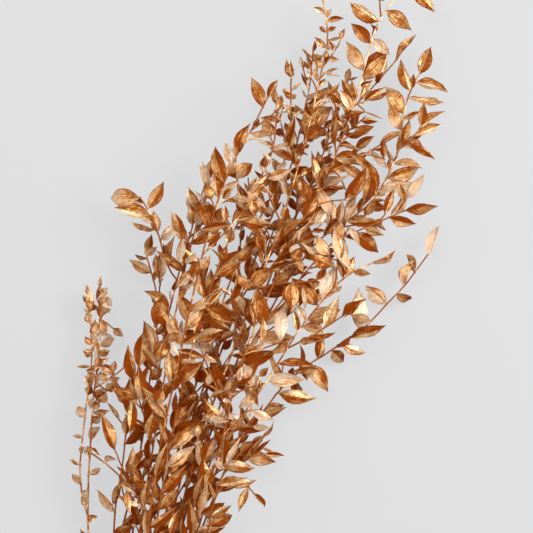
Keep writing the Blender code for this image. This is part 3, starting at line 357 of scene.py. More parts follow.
def thickness(point):  # how much thicker the growth is here, and the leaf length there
    extra, length, weights = 0.0, 0.0, 1e-6
    for across, along, reach, more, leaf in thickSpots:
        spot = inBunch(across, along, 0.0)
        away = math.hypot(point.x - spot.x, point.y - spot.y) / (reach * mm)
        weight = more * math.exp(-away * away)
        extra += weight
        weights += max(weight, 0.0)
        length += max(weight, 0.0) * leaf * mm
    return min(extra, 1.0), length / weights


def ease(share):
    share = min(max(share, 0.0), 1.0)
    return share * share * (3.0 - 2.0 * share)


def layerHeight(layer, slotHeight, along):
    form = bunchForm
    opened = ease(along / form["spreadBy"])
    closing = ease((along - form["closeFrom"]) / (form["closeTo"] - form["closeFrom"]))
    pressed = 1.0 - (1.0 - form["closedShare"]) * closing
    height = form["lowest"] + form["layerPitch"] * layer * pressed
    return slotHeight + (height - slotHeight) * opened


def inBunch(across, along, height):  # a place in the view, which is in millimetres, in metres
    x = (across - bunchForm["tieAcross"]) * mm
    return Vector((x, (along + bunchForm["tieBelow"]) * mm, height))


def smoothRoute(controls, segment):
    spans = [(b - a).length for a, b in zip(controls, controls[1:])]
    slopes = [(b - a) / span for a, b, span in zip(controls, controls[1:], spans)]
    tangents = [slopes[0]]
    for left, right, before, after in zip(slopes, slopes[1:], spans, spans[1:]):
        tangents.append((left * after + right * before) / (before + after))
    tangents.append(slopes[-1])
    points = [controls[0].copy()]
    for index, span in enumerate(spans):
        start, end = controls[index], controls[index + 1]
        pieces = max(1, round(span / segment))
        for piece in range(1, pieces + 1):
            t = piece / pieces
            point = start * (2 * t ** 3 - 3 * t ** 2 + 1) + end * (3 * t ** 2 - 2 * t ** 3)
            point += tangents[index] * span * (t ** 3 - 2 * t ** 2 + t)
            point += tangents[index + 1] * span * (t ** 3 - t ** 2)
            points.append(point)
    return points


class Axis:
    # the middle line of a stem or a twig

    def __init__(self, stem, points, footRadius, tipRadius):
        self.stem = stem
        self.points = points
        self.reach = [0.0]
        for a, b in zip(points, points[1:]):
            self.reach.append(self.reach[-1] + (b - a).length)
        self.length = self.reach[-1]
        self.footRadius = footRadius
        self.tipRadius = tipRadius
        self.twigFeet = []
        self.fine = None
        self.isSpur = False

    def line(self):  # distances along the axis, a millimetre apart, and the points there
        if self.fine is None:
            steps = int(self.length / mm)
            spots = [self.length * step / steps for step in range(steps + 1)]
            self.fine = (spots, numpy.array([tuple(self.at(spot)[0]) for spot in spots]))
        return self.fine

    def radius(self, distance):
        return self.footRadius + (self.tipRadius - self.footRadius) * distance / self.length

    def at(self, distance):
        distance = min(max(distance, 0.0), self.length)
        for index in range(len(self.points) - 1):
            if distance <= self.reach[index + 1] or index == len(self.points) - 2:
                a, b = self.points[index], self.points[index + 1]
                share = (distance - self.reach[index]) / (b - a).length
                return a.lerp(b, share), (b - a).normalized()

    def nearest(self, place):
        return min(self.line()[0], key=lambda mark: (self.at(mark)[0] - place).xy.length)

    def away(self, place):
        return (self.at(self.nearest(place))[0] - place).xy.length


def meshFrom(shape, name):
    mesh = bpy.data.meshes.new(name)
    shape.to_mesh(mesh)
    shape.free()
    return mesh


def addObject(name, data):
    made = bpy.data.objects.new(name, data)
    bpy.context.scene.collection.objects.link(made)
    return made


def roundLine(name, points, radii, thick, roundness):  # a line as a round rod with closed ends
    curve = bpy.data.curves.new(name, "CURVE")
    curve.dimensions = "3D"
    curve.bevel_depth = thick
    curve.bevel_resolution = roundness
    curve.use_fill_caps = True
    spline = curve.splines.new("POLY")
    spline.points.add(len(points) - 1)
    for node, point, radius in zip(spline.points, points, radii):
        node.co = (*point, 1.0)
        node.radius = radius
    holder = addObject(name + "Curve", curve)
    seen = holder.evaluated_get(bpy.context.evaluated_depsgraph_get())
    mesh = bpy.data.meshes.new_from_object(seen)
    bpy.data.objects.remove(holder, do_unlink=True)
    bpy.data.curves.remove(curve)
    shape = bmesh.new()
    shape.from_mesh(mesh)
    bpy.data.meshes.remove(mesh)
    bmesh.ops.remove_doubles(shape, verts=shape.verts, dist=1e-6)
    bmesh.ops.recalc_face_normals(shape, faces=shape.faces)
    return meshFrom(shape, name)


def plainTube(axis):  # the CAD model's four-sided stem, for trying the leaves' room
    radii = [axis.radius(reach) for reach in axis.reach]
    return roundLine("tube", axis.points, radii, 1.0, 0)


class Pattern:
    # the CAD leaf: a three-sided sphere, with each vertex's ring and corner

    def __init__(self, rings):
        ball = bmesh.new()
        bmesh.ops.create_uvsphere(ball, u_segments=3, v_segments=rings + 1, radius=1.0)
        found = {}
        for vert in ball.verts:
            rise = math.asin(max(-1.0, min(1.0, vert.co.z))) / math.pi + 0.5
            corner = round(math.atan2(vert.co.y, vert.co.x) / (2 * math.pi / 3)) % 3
            found[vert] = (round(rise * (rings + 1)), corner)
        for face in [f for f in ball.faces if len(f.verts) == 4]:
            foot = min(found[v][0] for v in face.verts)
            corners = {found[v][1] for v in face.verts}
            edge = min(corners - {1})
            other = max(corners - {edge}) if corners == {0, 2} else 1
            start = next(v for v in face.verts if found[v] == (foot, edge))
            end = next(v for v in face.verts if found[v] == (foot + 1, other))
            bmesh.utils.face_split(face, start, end)
        ball.verts.index_update()
        self.places = [found[v] for v in ball.verts]
        self.faces = [tuple(v.index for v in face.verts) for face in ball.faces]
        ball.free()


patterns = {rings + 2: Pattern(rings) for rings in (2, 3)}  # by the number of a leaf's stations


class Leaf:
    # a leaf as the CAD model lays it, with what the finer leaf needs to know

    def __init__(self, foot, along, facing, length, width, curl, twist, sunk):
        self.foot = foot
        self.along = along.normalized()
        self.side = self.along.cross(facing).normalized()
        self.facing = self.side.cross(self.along)
        self.length = length
        self.width = width
        self.curl = curl
        self.twist = twist
        self.sunk = sunk
        self.rests = False
        self.crumple = 0.0
        self.tone = None
        self.isFront = False

    def frame(self, share):
        bend = self.curl * max(share, 0.0)
        reach = self.length * share
        drop = 0.0
        if abs(bend) > 1e-4:
            reach = self.length * share * math.sin(bend) / bend
            drop = self.length * share * (1.0 - math.cos(bend)) / bend
        middle = self.foot + self.along * reach - self.facing * drop
        facing = self.facing * math.cos(bend) + self.along * math.sin(bend)
        turn = self.twist * max(share, 0.0)
        side = self.side * math.cos(turn) + facing * math.sin(turn)
        return middle, side, facing * math.cos(turn) - self.side * math.sin(turn)

    def stations(self):
        form = leafForm
        table = form["largeStations"] if self.length > form["large"] else form["smallStations"]
        rings = [(-self.sunk / self.length, 0.0, 0.0),
                 (form["neckLength"] / self.length, form["neckHalf"], form["neckThick"])]
        rings += [(at, self.width / 2 * wide, form["thick"] * thick) for at, wide, thick in table]
        return rings + [(1.0, 0.0, 0.0)]

    def points(self, spare=0.0):
        rings = self.stations()
        found = []
        for ring, corner in patterns[len(rings)].places:
            share, half, thick = rings[ring]
            if ring == len(rings) - 1:
                share += 2 * spare / self.length
            middle, side, facing = self.frame(share)
            if ring in (0, len(rings) - 1):
                found.append(middle)
            elif corner == 1:
                found.append(middle + facing * (thick / 2 + spare))
            else:
                hand = 1.0 if corner == 2 else -1.0
                reach = half + 3 * spare
                drop = thick / 2 + spare
                found.append(middle + side * hand * reach - facing * drop)
        return found

    def faces(self):
        return patterns[len(self.stations())].faces


class Thicket:
    # everything placed so far, for finding out whether a new leaf or twig has room

    def __init__(self):
        self.trees = []
        self.owners = []
        self.lows = []
        self.highs = []
        self.boxes = None

    def add(self, points, faces, owner):
        box = numpy.array([tuple(p) for p in points])
        self.trees.append(BVHTree.FromPolygons(points, faces))
        self.owners.append(owner)
        self.lows.append(box.min(axis=0))
        self.highs.append(box.max(axis=0))
        self.boxes = None

    def near(self, low, high):
        if self.boxes is None:
            self.boxes = (numpy.array(self.lows), numpy.array(self.highs))
        lows, highs = self.boxes
        meet = (lows <= high).all(axis=1) & (highs >= low).all(axis=1)
        return [int(index) for index in numpy.nonzero(meet)[0]]

    def hasRoom(self, points, faces, parent):
        box = numpy.array([tuple(p) for p in points])
        tree = BVHTree.FromPolygons(points, faces)
        for index in self.near(box.min(axis=0), box.max(axis=0)):
            if self.owners[index] is not parent and tree.overlap(self.trees[index]):
                return False
        return True

    def isOff(self, owner, place, distance):
        tree = self.trees[self.owners.index(owner)]
        return tree.find_nearest(place, distance)[0] is None

    def between(self, start, height):  # what stands between a point and a height over or under it
        end = Vector((start.x, start.y, height))
        low, high = (start, end) if height > start.z else (end, start)
        for index in self.near(numpy.array(tuple(low)), numpy.array(tuple(high))):
            if self.trees[index].ray_cast(start, end - start)[0] is not None:
                yield self.owners[index]

    def lineIsClear(self, points, clearance, parent, freeStart):
        for a, b in zip(points, points[1:]):
            steps = max(1, int((b - a).length / mm))
            for step in range(steps + 1):
                place = a.lerp(b, step / steps)
                reach = numpy.array(tuple(place))
                for index in self.near(reach - clearance, reach + clearance):
                    own = self.owners[index] is parent
                    if own and (place - points[0]).length < freeStart:
                        continue
                    if self.trees[index].find_nearest(place, clearance)[0] is not None:
                        return False
        return True


def bundleRadius():
    return 2 * bunchForm["slotPitch"] + stemForm["radius"]


def bundleHeight():
    return bundleRadius() + 2 * tieForm["radius"] + bunchForm["pieceGap"] - tieForm["flat"]


def layStems():
    byLayer = sorted(stems, key=lambda name: stems[name]["order"])
    axes = {}
    first = 0
    for row, count in enumerate(bunchForm["slotRows"]):
        members = byLayer[first:first + count]
        first += count
        members.sort(key=lambda name: stems[name]["route"][0][0])
        for place, name in enumerate(members):
            slotX = (place - (count - 1) / 2) * bunchForm["slotPitch"]
            slotZ = bundleHeight() + (row - 2) * bunchForm["slotPitch"] * math.sqrt(3) / 2
            axes[name] = layStem(name, slotX, slotZ)
    return axes


def layStem(name, slotX, slotZ):
    stem = stems[name]
    rng = random.Random(growthRule["seed"] * 100 + stem["order"])
    cut = stemForm["handle"] - rng.random() * stemForm["handleVaries"]
    splay = stemForm["splay"]
    lift = max(slotZ - bundleHeight(), 0.0)
    halfTie = tieForm["turns"] * tieForm["pitch"]
    controls = [Vector((slotX * splay, -cut, slotZ + lift * (splay - 1))),
                Vector((slotX, -halfTie, slotZ)), Vector((slotX, halfTie, slotZ))]
    for across, along in stem["route"]:
        height = layerHeight(stem["order"], slotZ, (along + bunchForm["tieBelow"]) * mm)
        controls.append(inBunch(across, along, height))
    points = smoothRoute(controls, stemForm["segment"])
    return Axis(name, points, stemForm["radius"], stemForm["tipRadius"])


def twigAxis(stem, points):
    return Axis(stem, points, stemForm["twigRadius"], stemForm["twigTipRadius"])


def liesWithin(points, lowest, highest):
    heights = [point.z for point in points]
    return min(heights) >= lowest and max(heights) <= highest


def layTwig(main, rise, route):
    start = main.nearest(inBunch(route[0][0], route[0][1], 0.0))
    foot, _ = main.at(start)
    controls = [foot]
    for index, (across, along) in enumerate(route[1:], start=1):
        share = index / (len(route) - 1)
        controls.append(inBunch(across, along, foot.z + rise * mm * math.sqrt(share)))
    main.twigFeet.append(start)
    return twigAxis(main.stem, smoothRoute(controls, stemForm["twigSegment"]))


def vary(rng, degrees):
    return math.radians(rng.gauss(0.0, degrees))


def pick(rng, limits):
    return math.radians(rng.uniform(*limits))


def outwards(forward, around, spread):
    outward = Vector((0.0, 0.0, 1.0)).cross(forward).normalized()
    outward.rotate(Quaternion(forward, around))
    return forward * math.cos(spread) + outward * math.sin(spread)


def blade(axis, distance, way, length, roll, rng):
    foot, _ = axis.at(min(distance, axis.length - leafForm["endSunk"]))
    way = way.normalized()
    facing = Vector((0.0, 0.0, 1.0)).cross(way).cross(way) * -1.0
    if facing.length < 0.2:
        facing = Vector((0.0, 1.0, 0.0)).cross(way).cross(way) * -1.0
    facing.rotate(Quaternion(way, roll))
    width = length * rng.uniform(*leafForm["slimness"])
    sunk = leafForm["sunk"] * axis.radius(distance)
    curl = pick(rng, leafForm["curl"])
    return Leaf(foot, way, facing, length, width, curl, pick(rng, leafForm["twist"]), sunk)


def leafSize(axis, distance):
    stem = stems[axis.stem]
    point, _ = axis.at(distance)
    height = (point.y / mm - bunchForm["tieBelow"]) / stem["route"][-1][1]
    share = ease((height - growthRule["smallerFrom"]) / (1.0 - growthRule["smallerFrom"]))
    low, high = stem["leaf"]
    return (low + (high - low) * share) * mm


class Bunch:
    # every stem with its twigs and leaves, grown in the order of the CAD source

    def __init__(self):
        self.thicket = Thicket()
        self.axes = {name: [main] for name, main in layStems().items()}
        self.leaves = {name: [] for name in stems}
        self.tubePoints = {name: [] for name in stems}
        self.feet = {}
        self.ended = set()
        self.room = growthRule["room"]
        self.filling = False
        for name in stems:
            self.settle(self.axes[name][0])
        for name, stem in stems.items():
            for rise, route in stem["twigs"]:
                self.addTwig(name, layTwig(self.axes[name][0], rise, route))
        for name, stem in stems.items():
            rng = random.Random(growthRule["seed"] * 300 + stem["order"])
            for _ in range(stem["wildTwigs"]):
                self.addTwig(name, self.wildTwig(self.axes[name][0], rng))
        self.placeShown(restingLeaves, True)
        self.placeShown({name: stem["leaves"] for name, stem in stems.items()}, False)
        for name in stems:
            for number, axis in enumerate(self.axes[name]):
                self.growAlong(axis, number)

    def settle(self, axis):
        mesh = plainTube(axis)
        points = [vert.co.copy() for vert in mesh.vertices]
        self.thicket.add(points, [tuple(face.vertices) for face in mesh.polygons], axis)
        self.tubePoints[axis.stem] += points
        self.feet[axis] = []
        bpy.data.meshes.remove(mesh)

    def addTwig(self, name, twig):
        if twig:
            self.axes[name].append(twig)
            self.settle(twig)

    def wildTwig(self, main, rng, rule=twigRule):
        for _ in range(rule["tries"]):
            start = rng.uniform(*rule["zone"]) * main.length
            length = rng.uniform(*rule["lengths"])
            if any(abs(start - other) < rule["apart"] for other in main.twigFeet):
                continue
            foot, forward = main.at(start)
            if rule is fillTwigRule and rng.random() > thickness(foot)[0]:
                continue
            around = rng.choice((0.0, math.pi)) + vary(rng, rule["turnVaries"])
            way = outwards(forward, around, pick(rng, rule["spread"]))
            end = foot + (way + forward * rule["lift"]) * length
            points = smoothRoute([foot, foot + way * length / 2, end], stemForm["twigSegment"])
            if not liesWithin(points, *rule["heights"]):
                continue
            room = stemForm["twigRadius"] + rule["room"]
            if self.thicket.lineIsClear(points, room, main, rule["freeStart"]):
                main.twigFeet.append(start)
                return twigAxis(main.stem, points)
        return None

    def place(self, leaf, axis, distance, lowest=bunchForm["floorGap"], atEnd=False):
        roomy = leaf.points(self.room)
        if not liesWithin(roomy, lowest, bunchForm["highest"]):
            return False
        if not self.thicket.hasRoom(roomy, leaf.faces(), axis):
            return False
        for share in growthRule["gapShares"]:
            away = growthRule["ownStemGap"] * leaf.length
            if not atEnd and not self.thicket.isOff(axis, leaf.frame(share)[0], away):
                return False
        self.keep(leaf, axis, distance)
        return True

    def keep(self, leaf, axis, distance):
        self.thicket.add(leaf.points(), leaf.faces(), leaf)
        self.leaves[axis.stem].append((leaf, axis, distance))
        self.feet[axis].append(distance)

    def placeShown(self, table, resting):
        for name, spots in table.items():
            for number, spot in enumerate(spots, start=50 * resting):
                seed = growthRule["seed"] * 7000 + stems[name]["order"] * 100 + number
                leaf = self.shownLeaf(name, spot, resting, random.Random(seed))
                if leaf and not resting:
                    leaf.tone = spot[4]
                    leaf.isFront = True

    def shownLeaf(self, name, spot, resting, rng):
        rule = growthRule
        aim = inBunch(spot[0], spot[1], 0.0)
        axis = min(self.axes[name], key=lambda each: each.away(aim))
        distance = axis.nearest(aim)
        foot, _ = axis.at(distance)
        flat = inBunch(spot[2], spot[3], foot.z) - foot
        for attempt in range(rule["tries"]):
            if resting:
                way = Vector((flat.x, flat.y, -foot.z))
                way.rotate(Quaternion((0, 0, 1), vary(rng, rule["tryTurns"] * attempt)))
                leaf = blade(axis, distance, way, way.length, vary(rng, rule["shownRoll"]), rng)
                leaf.curl = 0.0
                leaf.rests = True
                placed = self.place(leaf, axis, distance, lowest=-2 * leafForm["thick"])
            else:
                tilt = vary(rng, rule["shownTilt"] + attempt)
                way = flat + Vector((0.0, 0.0, flat.length * math.tan(tilt)))
                length = flat.length * (1.0 - rule["tryShortens"] * attempt)
                roll = vary(rng, rule["shownRoll"] + attempt)
                leaf = blade(axis, distance, way, length, roll, rng)
                placed = self.place(leaf, axis, distance)
            if placed:
                if distance > axis.length - 2 * leafForm["endSunk"]:
                    self.ended.add(axis)
                return leaf

    def growAlong(self, axis, number):
        rule = growthRule
        rng = random.Random(rule["seed"] * 9000 + stems[axis.stem]["order"] * 40 + number)
        if axis not in self.ended:
            self.tipLeaf(axis, leafSize(axis, axis.length), rng)
        distance = rule["twigLeafyFrom"] if number else rule["leafyFrom"] + stemForm["handle"]
        distance += rng.random() * rule["twigLeafyFrom"]
        turn = rng.choice((0.0, math.pi))
        while distance < axis.length - rule["twigLeafyFrom"]:
            size = leafSize(axis, distance)
            nearLeaf = any(abs(distance - other) < rule["crowding"] * size
                           for other in self.feet[axis])
            nearTwig = any(abs(distance - other) < rule["twigFootCrowding"]
                           for other in axis.twigFeet)
            leafRng = random.Random(rng.random())
            if not nearLeaf and not nearTwig:
                if self.grownLeaf(axis, distance, turn, size, leafRng, rule["tries"]):
                    turn += math.pi
            step = max(size * rule["step"], rule["leastStep"])
            distance += step * rng.uniform(*rule["stepVaries"])

    def grownLeaf(self, axis, distance, turn, size, rng, tries, spread=growthRule["spread"]):
        rule = growthRule
        _, forward = axis.at(distance)
        for attempt in range(tries):
            around = turn + vary(rng, rule["turnVaries"] + rule["tryTurns"] * attempt)
            way = outwards(forward, around, pick(rng, spread))
            length = size * rng.uniform(*rule["varies"]) * (1.0 - rule["tryShortens"] * attempt)
            leaf = blade(axis, distance, way, length, vary(rng, rule["rollVaries"]), rng)
            if self.filling and self.hidesFront(leaf):
                continue
            if self.place(leaf, axis, distance):
                return True
        return False

    def tipLeaf(self, axis, size, rng):
        rule = growthRule
        _, forward = axis.at(axis.length)
        for attempt in range(rule["tries"]):
            stray = rule["tipStrays"] * (1 + attempt / rule["straysMoreBy"])
            way = forward + Vector([rng.gauss(0.0, stray) for _ in range(3)])
            length = size * rng.uniform(*rule["varies"])
            leaf = blade(axis, axis.length, way, length, vary(rng, rule["rollVaries"]), rng)
            if self.place(leaf, axis, axis.length, atEnd=True):
                return

    def seenShare(self, leaf):  # how much of the leaf nothing covers from above
        above, top = frontRule["seenFrom"]
        seen = 0
        for share in frontRule["shares"]:
            point = leaf.frame(share)[0] + Vector((0.0, 0.0, above))
            seen += not any(self.thicket.between(point, top))
        return seen / len(frontRule["shares"])

    def hidesFront(self, leaf):
        return any(isinstance(owner, Leaf) and owner.isFront for share in frontRule["mayHide"]
                   for owner in self.thicket.between(leaf.frame(share)[0], 0.0))

    def bestFront(self, axis, distance, tip, width, tilts, cost, rng, best):
        rule = frontRule
        foot, _ = axis.at(distance)
        flat = Vector((tip.x - foot.x, tip.y - foot.y, 0.0))
        length = min(flat.length, rule["longest"])
        for degrees in tilts:
            tilt = math.radians(degrees + rng.uniform(-rule["tiltVaries"], rule["tiltVaries"]))
            way = flat + Vector((0.0, 0.0, flat.length * math.tan(tilt)))
            roll = vary(rng, rule["roll"])
            leaf = blade(axis, distance, way, length / math.cos(tilt), roll, rng)
            leaf.curl *= rule["curl"]
            leaf.width = width
            points = leaf.points(self.room)
            if not liesWithin(points, *rule["heights"]):
                continue
            score = self.seenShare(leaf) - cost
            if not self.thicket.hasRoom(points, leaf.faces(), axis):
                score -= rule["noRoom"]
            if best is None or score > best[0]:
                best = (score, leaf, axis, distance)
        return best

    def spur(self, axis, distance, away, aim, rise):  # a short twig that carries one leaf
        rule = frontRule
        share, more = rule["spurBack"]
        start = max(distance - away * share - more, rule["spurFrom"])
        foot, forward = axis.at(start)
        end = Vector((aim.x, aim.y, axis.at(distance)[0].z + rise))
        span = (end - foot).length
        middle = foot.lerp(end, 0.5) + forward * span * rule["spurBow"]
        points = smoothRoute([foot, middle, end], stemForm["twigSegment"] / rule["spurPieces"])
        spur = twigAxis(axis.stem, points)
        spur.isSpur = True
        return spur

    def frontLeaf(self, spot, rng):  # on a stem within reach, or on a spur where that shows better
        rule = frontRule
        across, along, tipAcross, tipAlong, width, tone = spot[:6]
        aim = inBunch(across, along, 0.0)
        tip = inBunch(tipAcross, tipAlong, 0.0)
        near = []
        for axis in [axis for axes in self.axes.values() for axis in axes if not axis.isSpur]:
            spots, points = axis.line()
            away = numpy.hypot(points[:, 0] - aim.x, points[:, 1] - aim.y)
            index = int(away.argmin())
            near.append((float(away[index]), -float(points[index, 2]), spots[index], axis))
        best = None
        close = sorted((each for each in near if each[0] < rule["reach"]), key=lambda each: each[1])
        for _, _, distance, axis in close[:rule["nearest"]]:
            best = self.bestFront(axis, distance, tip, width * mm, rule["tilts"], 0.0, rng, best)
            if best and best[0] == 1.0:
                break
        if best is None or best[0] < rule["good"]:
            near.sort(key=lambda each: each[0])
            for away, _, distance, axis in near[:rule["nearest"]]:
                if away > rule["farthest"]:
                    break
                for rise in rule["rises"]:
                    spur = self.spur(axis, distance, away, aim, rise)
                    cost = rise * rule["riseCosts"] + away * rule["awayCosts"]
                    best = self.bestFront(spur, spur.length, tip, width * mm, rule["spurTilts"],
                                          cost, rng, best)
                    if best and best[0] + cost == 1.0:
                        break
        if best is None:
            return None
        score, leaf, axis, distance = best
        leaf.tone = tone
        leaf.isFront = True
        leaf.crumple = spot[6] if len(spot) > 6 else 0.0
        if axis.isSpur:
            self.addTwig(axis.stem, axis)
        self.keep(leaf, axis, distance)
        return score

    def placeFront(self):
        scores = [self.frontLeaf(spot, random.Random(frontRule["seed"] + number))
                  for number, spot in enumerate(frontLeaves)]
        placed = [score for score in scores if score is not None]
        print("front leaves:", len(placed),
              "in full view:", sum(score > frontRule["inView"] for score in placed),
              "without room:", sum(score <= 0 for score in placed),
              "left out:", len(scores) - len(placed))

    def fillIn(self):  # more, smaller leaves between those that the CAD model has
        rule = fillRule
        self.room = rule["room"]
        self.placeFront()
        self.filling = True
        for name in stems:
            rng = random.Random(rule["seed"] * 30 + stems[name]["order"])
            for _ in range(fillTwigRule["number"]):
                self.addTwig(name, self.wildTwig(self.axes[name][0], rng, fillTwigRule))
        for turn, each in enumerate(rule["passes"]):
            for name in stems:
                for number, axis in enumerate(self.axes[name]):
                    seed = rule["seed"] * 50 + stems[name]["order"] * 40 + number + 7000 * turn
                    if not axis.isSpur:
                        self.fillAlong(axis, number, each, random.Random(seed))

    def fillAlong(self, axis, number, each, rng):
        rule = fillRule
        start = rule["twigStart"] if number else rule["start"] + stemForm["handle"]
        start = max(start, each["above"] * axis.length * (number == 0))
        distance = start + rng.random() * each["leastStep"]
        turn = around = rng.uniform(0.0, 2 * math.pi)
        while distance < axis.length - rule["endGap"]:
            point = axis.at(distance)[0]
            extra, longer = thickness(point)
            size = leafSize(axis, distance)
            size = max(size, size + (longer - size) * extra)
            leafRng = random.Random(rng.random())
            crowding = rule["crowding"] * size * (1.0 - rule["crowdingEases"] * extra)
            near = any(abs(distance - other) < crowding for other in self.feet[axis])
            clumped = math.sin(2 * math.pi * distance / each["clump"] + turn)
            if not near and clumped > 1 - 2 * each["share"] * (rule["thin"] + rule["thick"] * extra):
                length = size * leafRng.uniform(*each["sizes"])
                opened = ease((point.y - bunchForm["tieBelow"] * mm) / rule["spreadTo"])
                spread = [low + (high - low) * opened for low, high in zip(*rule["spreads"])]
                if self.grownLeaf(axis, distance, around, length, leafRng, rule["tries"], spread):
                    leaf = self.leaves[axis.stem][-1][0]
                    leaf.crumple = leafRng.uniform(*each["crumple"])
                    # a dark tone, painted shade for the inside of the bunch
                    leaf.tone = leafRng.uniform(*rule["tones"])
                    around += math.radians(rule["turn"])
            step = max(size * each["step"], each["leastStep"]) / (1.0 + rule["closer"] * extra)
            distance += step * rng.uniform(*rule["stepVaries"])


bunch = Bunch()
cadLeaves = sum(len(leaves) for leaves in bunch.leaves.values())


def laidCorners(name):  # the lowest and the highest x and y of a stem, in the bunch's own metres
    points = list(bunch.tubePoints[name])
    for leaf, _, _ in bunch.leaves[name]:
        points += leaf.points()
    return [[end(point[k] for point in points) for k in range(2)] for end in (min, max)]


# one stem's box tells where the CAD model put the bunch, and the others show that the rest fits
guide = "stem_10"
cadLow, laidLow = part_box(guide)[0], laidCorners(guide)[0]
shift = Vector((cadLow.x - laidLow[0], cadLow.y - laidLow[1], 0.0))
farthestOff = max(abs(laid[k] + shift[k] - cad[k]) for name in stems
                  for laid, cad in zip(laidCorners(name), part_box(name)) for k in range(2))
print("stage: bunch laid out,", cadLeaves, "leaves, off the CAD boxes by mm",
      round(farthestOff / mm, 4))
bunch.fillIn()
print("stage: extra leaves,", sum(len(leaves) for leaves in bunch.leaves.values()) - cadLeaves)


# the finer pieces

leafLook = dict(  # angles are in radians, and low is in millimetres of the view
    across=4, rows=(0.0, 0.05, 0.15, 0.28, 0.43, 0.60, 0.75, 0.89, 1.0),
    outline=((0.0, 0.0), (0.05, 0.13), (0.15, 0.52), (0.28, 0.87), (0.43, 1.0), (0.60, 0.88),
             (0.75, 0.58), (0.89, 0.22), (1.0, 0.0)),
    wider=(0.86, 1.10), frontWider=1.06, loneWider=1.35, smallWider=0.35, slimmerLow=0.14,
    low=(60, 120), fold=(0.10, 0.62), foldMore=0.35, foldBy=0.25, frontFold=0.85,
    cup=(-0.35, 0.80), upShare=0.7, uneven=0.22, wave=0.035, waveMore=1.5, waves=(0.8, 2.0),
    phase=(0.0, 6.3), ripple=0.06, ripples=9.0, hook=(-0.04, 0.14), hookFrom=0.5, sway=0.05,
    twist=0.25, crumple=(-0.6, 0.40), stalk=(0.1, 1.5),
    thick=0.0006, small=(0.020, 0.011), highest=0.1236)  # this line in metres


def outlineAt(share):
    table = leafLook["outline"]
    for (a, low), (b, high) in zip(table, table[1:]):
        if share <= b:
            return low + (high - low) * (share - a) / (b - a)
    return 0.0


def leafTemplate():
    rows = leafLook["rows"]
    across = leafLook["across"]
    shape = bmesh.new()
    bmesh.ops.create_grid(shape, x_segments=across, y_segments=len(rows) - 1, size=1.0)
    for vert in shape.verts:
        row = round((vert.co.y + 1) / 2 * (len(rows) - 1))
        vert.co.y = rows[row]
        inside = abs(vert.co.x) < 0.99 and 0 < row < len(rows) - 1
        vert.co.x *= outlineAt(rows[row])
        vert.co.z = 1.0 if inside else 0.0
    under = bmesh.ops.duplicate(shape, geom=shape.verts[:] + shape.edges[:] + shape.faces[:])
    lower = [item for item in under["geom"] if isinstance(item, bmesh.types.BMVert)]
    lowerFaces = [item for item in under["geom"] if isinstance(item, bmesh.types.BMFace)]
    bmesh.ops.scale(shape, verts=lower, vec=(1.0, 1.0, -1.0))
    bmesh.ops.reverse_faces(shape, faces=lowerFaces)
    bmesh.ops.remove_doubles(shape, verts=shape.verts, dist=1e-5)
    for edge in shape.edges:
        rim = all(abs(v.co.z) < 0.5 for v in edge.verts)
        crease = all(abs(v.co.x) < 0.01 for v in edge.verts)
        edge.smooth = not rim and not crease
    for face in shape.faces:
        face.smooth = True
    uv = shape.loops.layers.uv.new("paintMap")
    spot = {}
    for vert in shape.verts:
        wide = outlineAt(vert.co.y)
        spot[vert] = vert.co.x / wide if wide > 0 else None
    for face in shape.faces:
        known = [spot[v] for v in face.verts if spot[v] is not None]
        for loop in face.loops:
            across = spot[loop.vert] if spot[loop.vert] is not None else sum(known) / len(known)
            loop[uv].uv = (0.5 + across / 2, loop.vert.co.y)
    shape.verts.index_update()
    mesh = meshFrom(shape, "leafTemplate")
    for name in ("leafTone", "stemShare"):
        mesh.attributes.new(name, "FLOAT", "POINT")
    return mesh


loneStem = "stem_01"  # the sprig that stands apart from the bunch
leafMesh = leafTemplate()
# across from -1 to 1, along from 0 to 1, and 1 on the upper face, -1 on the lower, 0 at the rim
leafSpots = [(v.co.x / outlineAt(v.co.y) if outlineAt(v.co.y) > 0 else 0.0, v.co.y, v.co.z)
             for v in leafMesh.vertices]


def halfWidth(leaf, isLone, rng):
    look = leafLook
    half = leaf.width / 2 * rng.uniform(*look["wider"])
    if leaf.isFront:
        return half * look["frontWider"]
    if isLone:
        half *= look["loneWider"]
    else:
        along = leaf.foot.y / mm - bunchForm["tieBelow"]
        half *= 1.0 - look["slimmerLow"] * (1.0 - ease((along - look["low"][0]) / look["low"][1]))
    smallness = (look["small"][0] - leaf.length) / (look["small"][0] - look["small"][1])
    return half * (1.0 + look["smallWider"] * min(max(smallness, 0.0), 1.0))


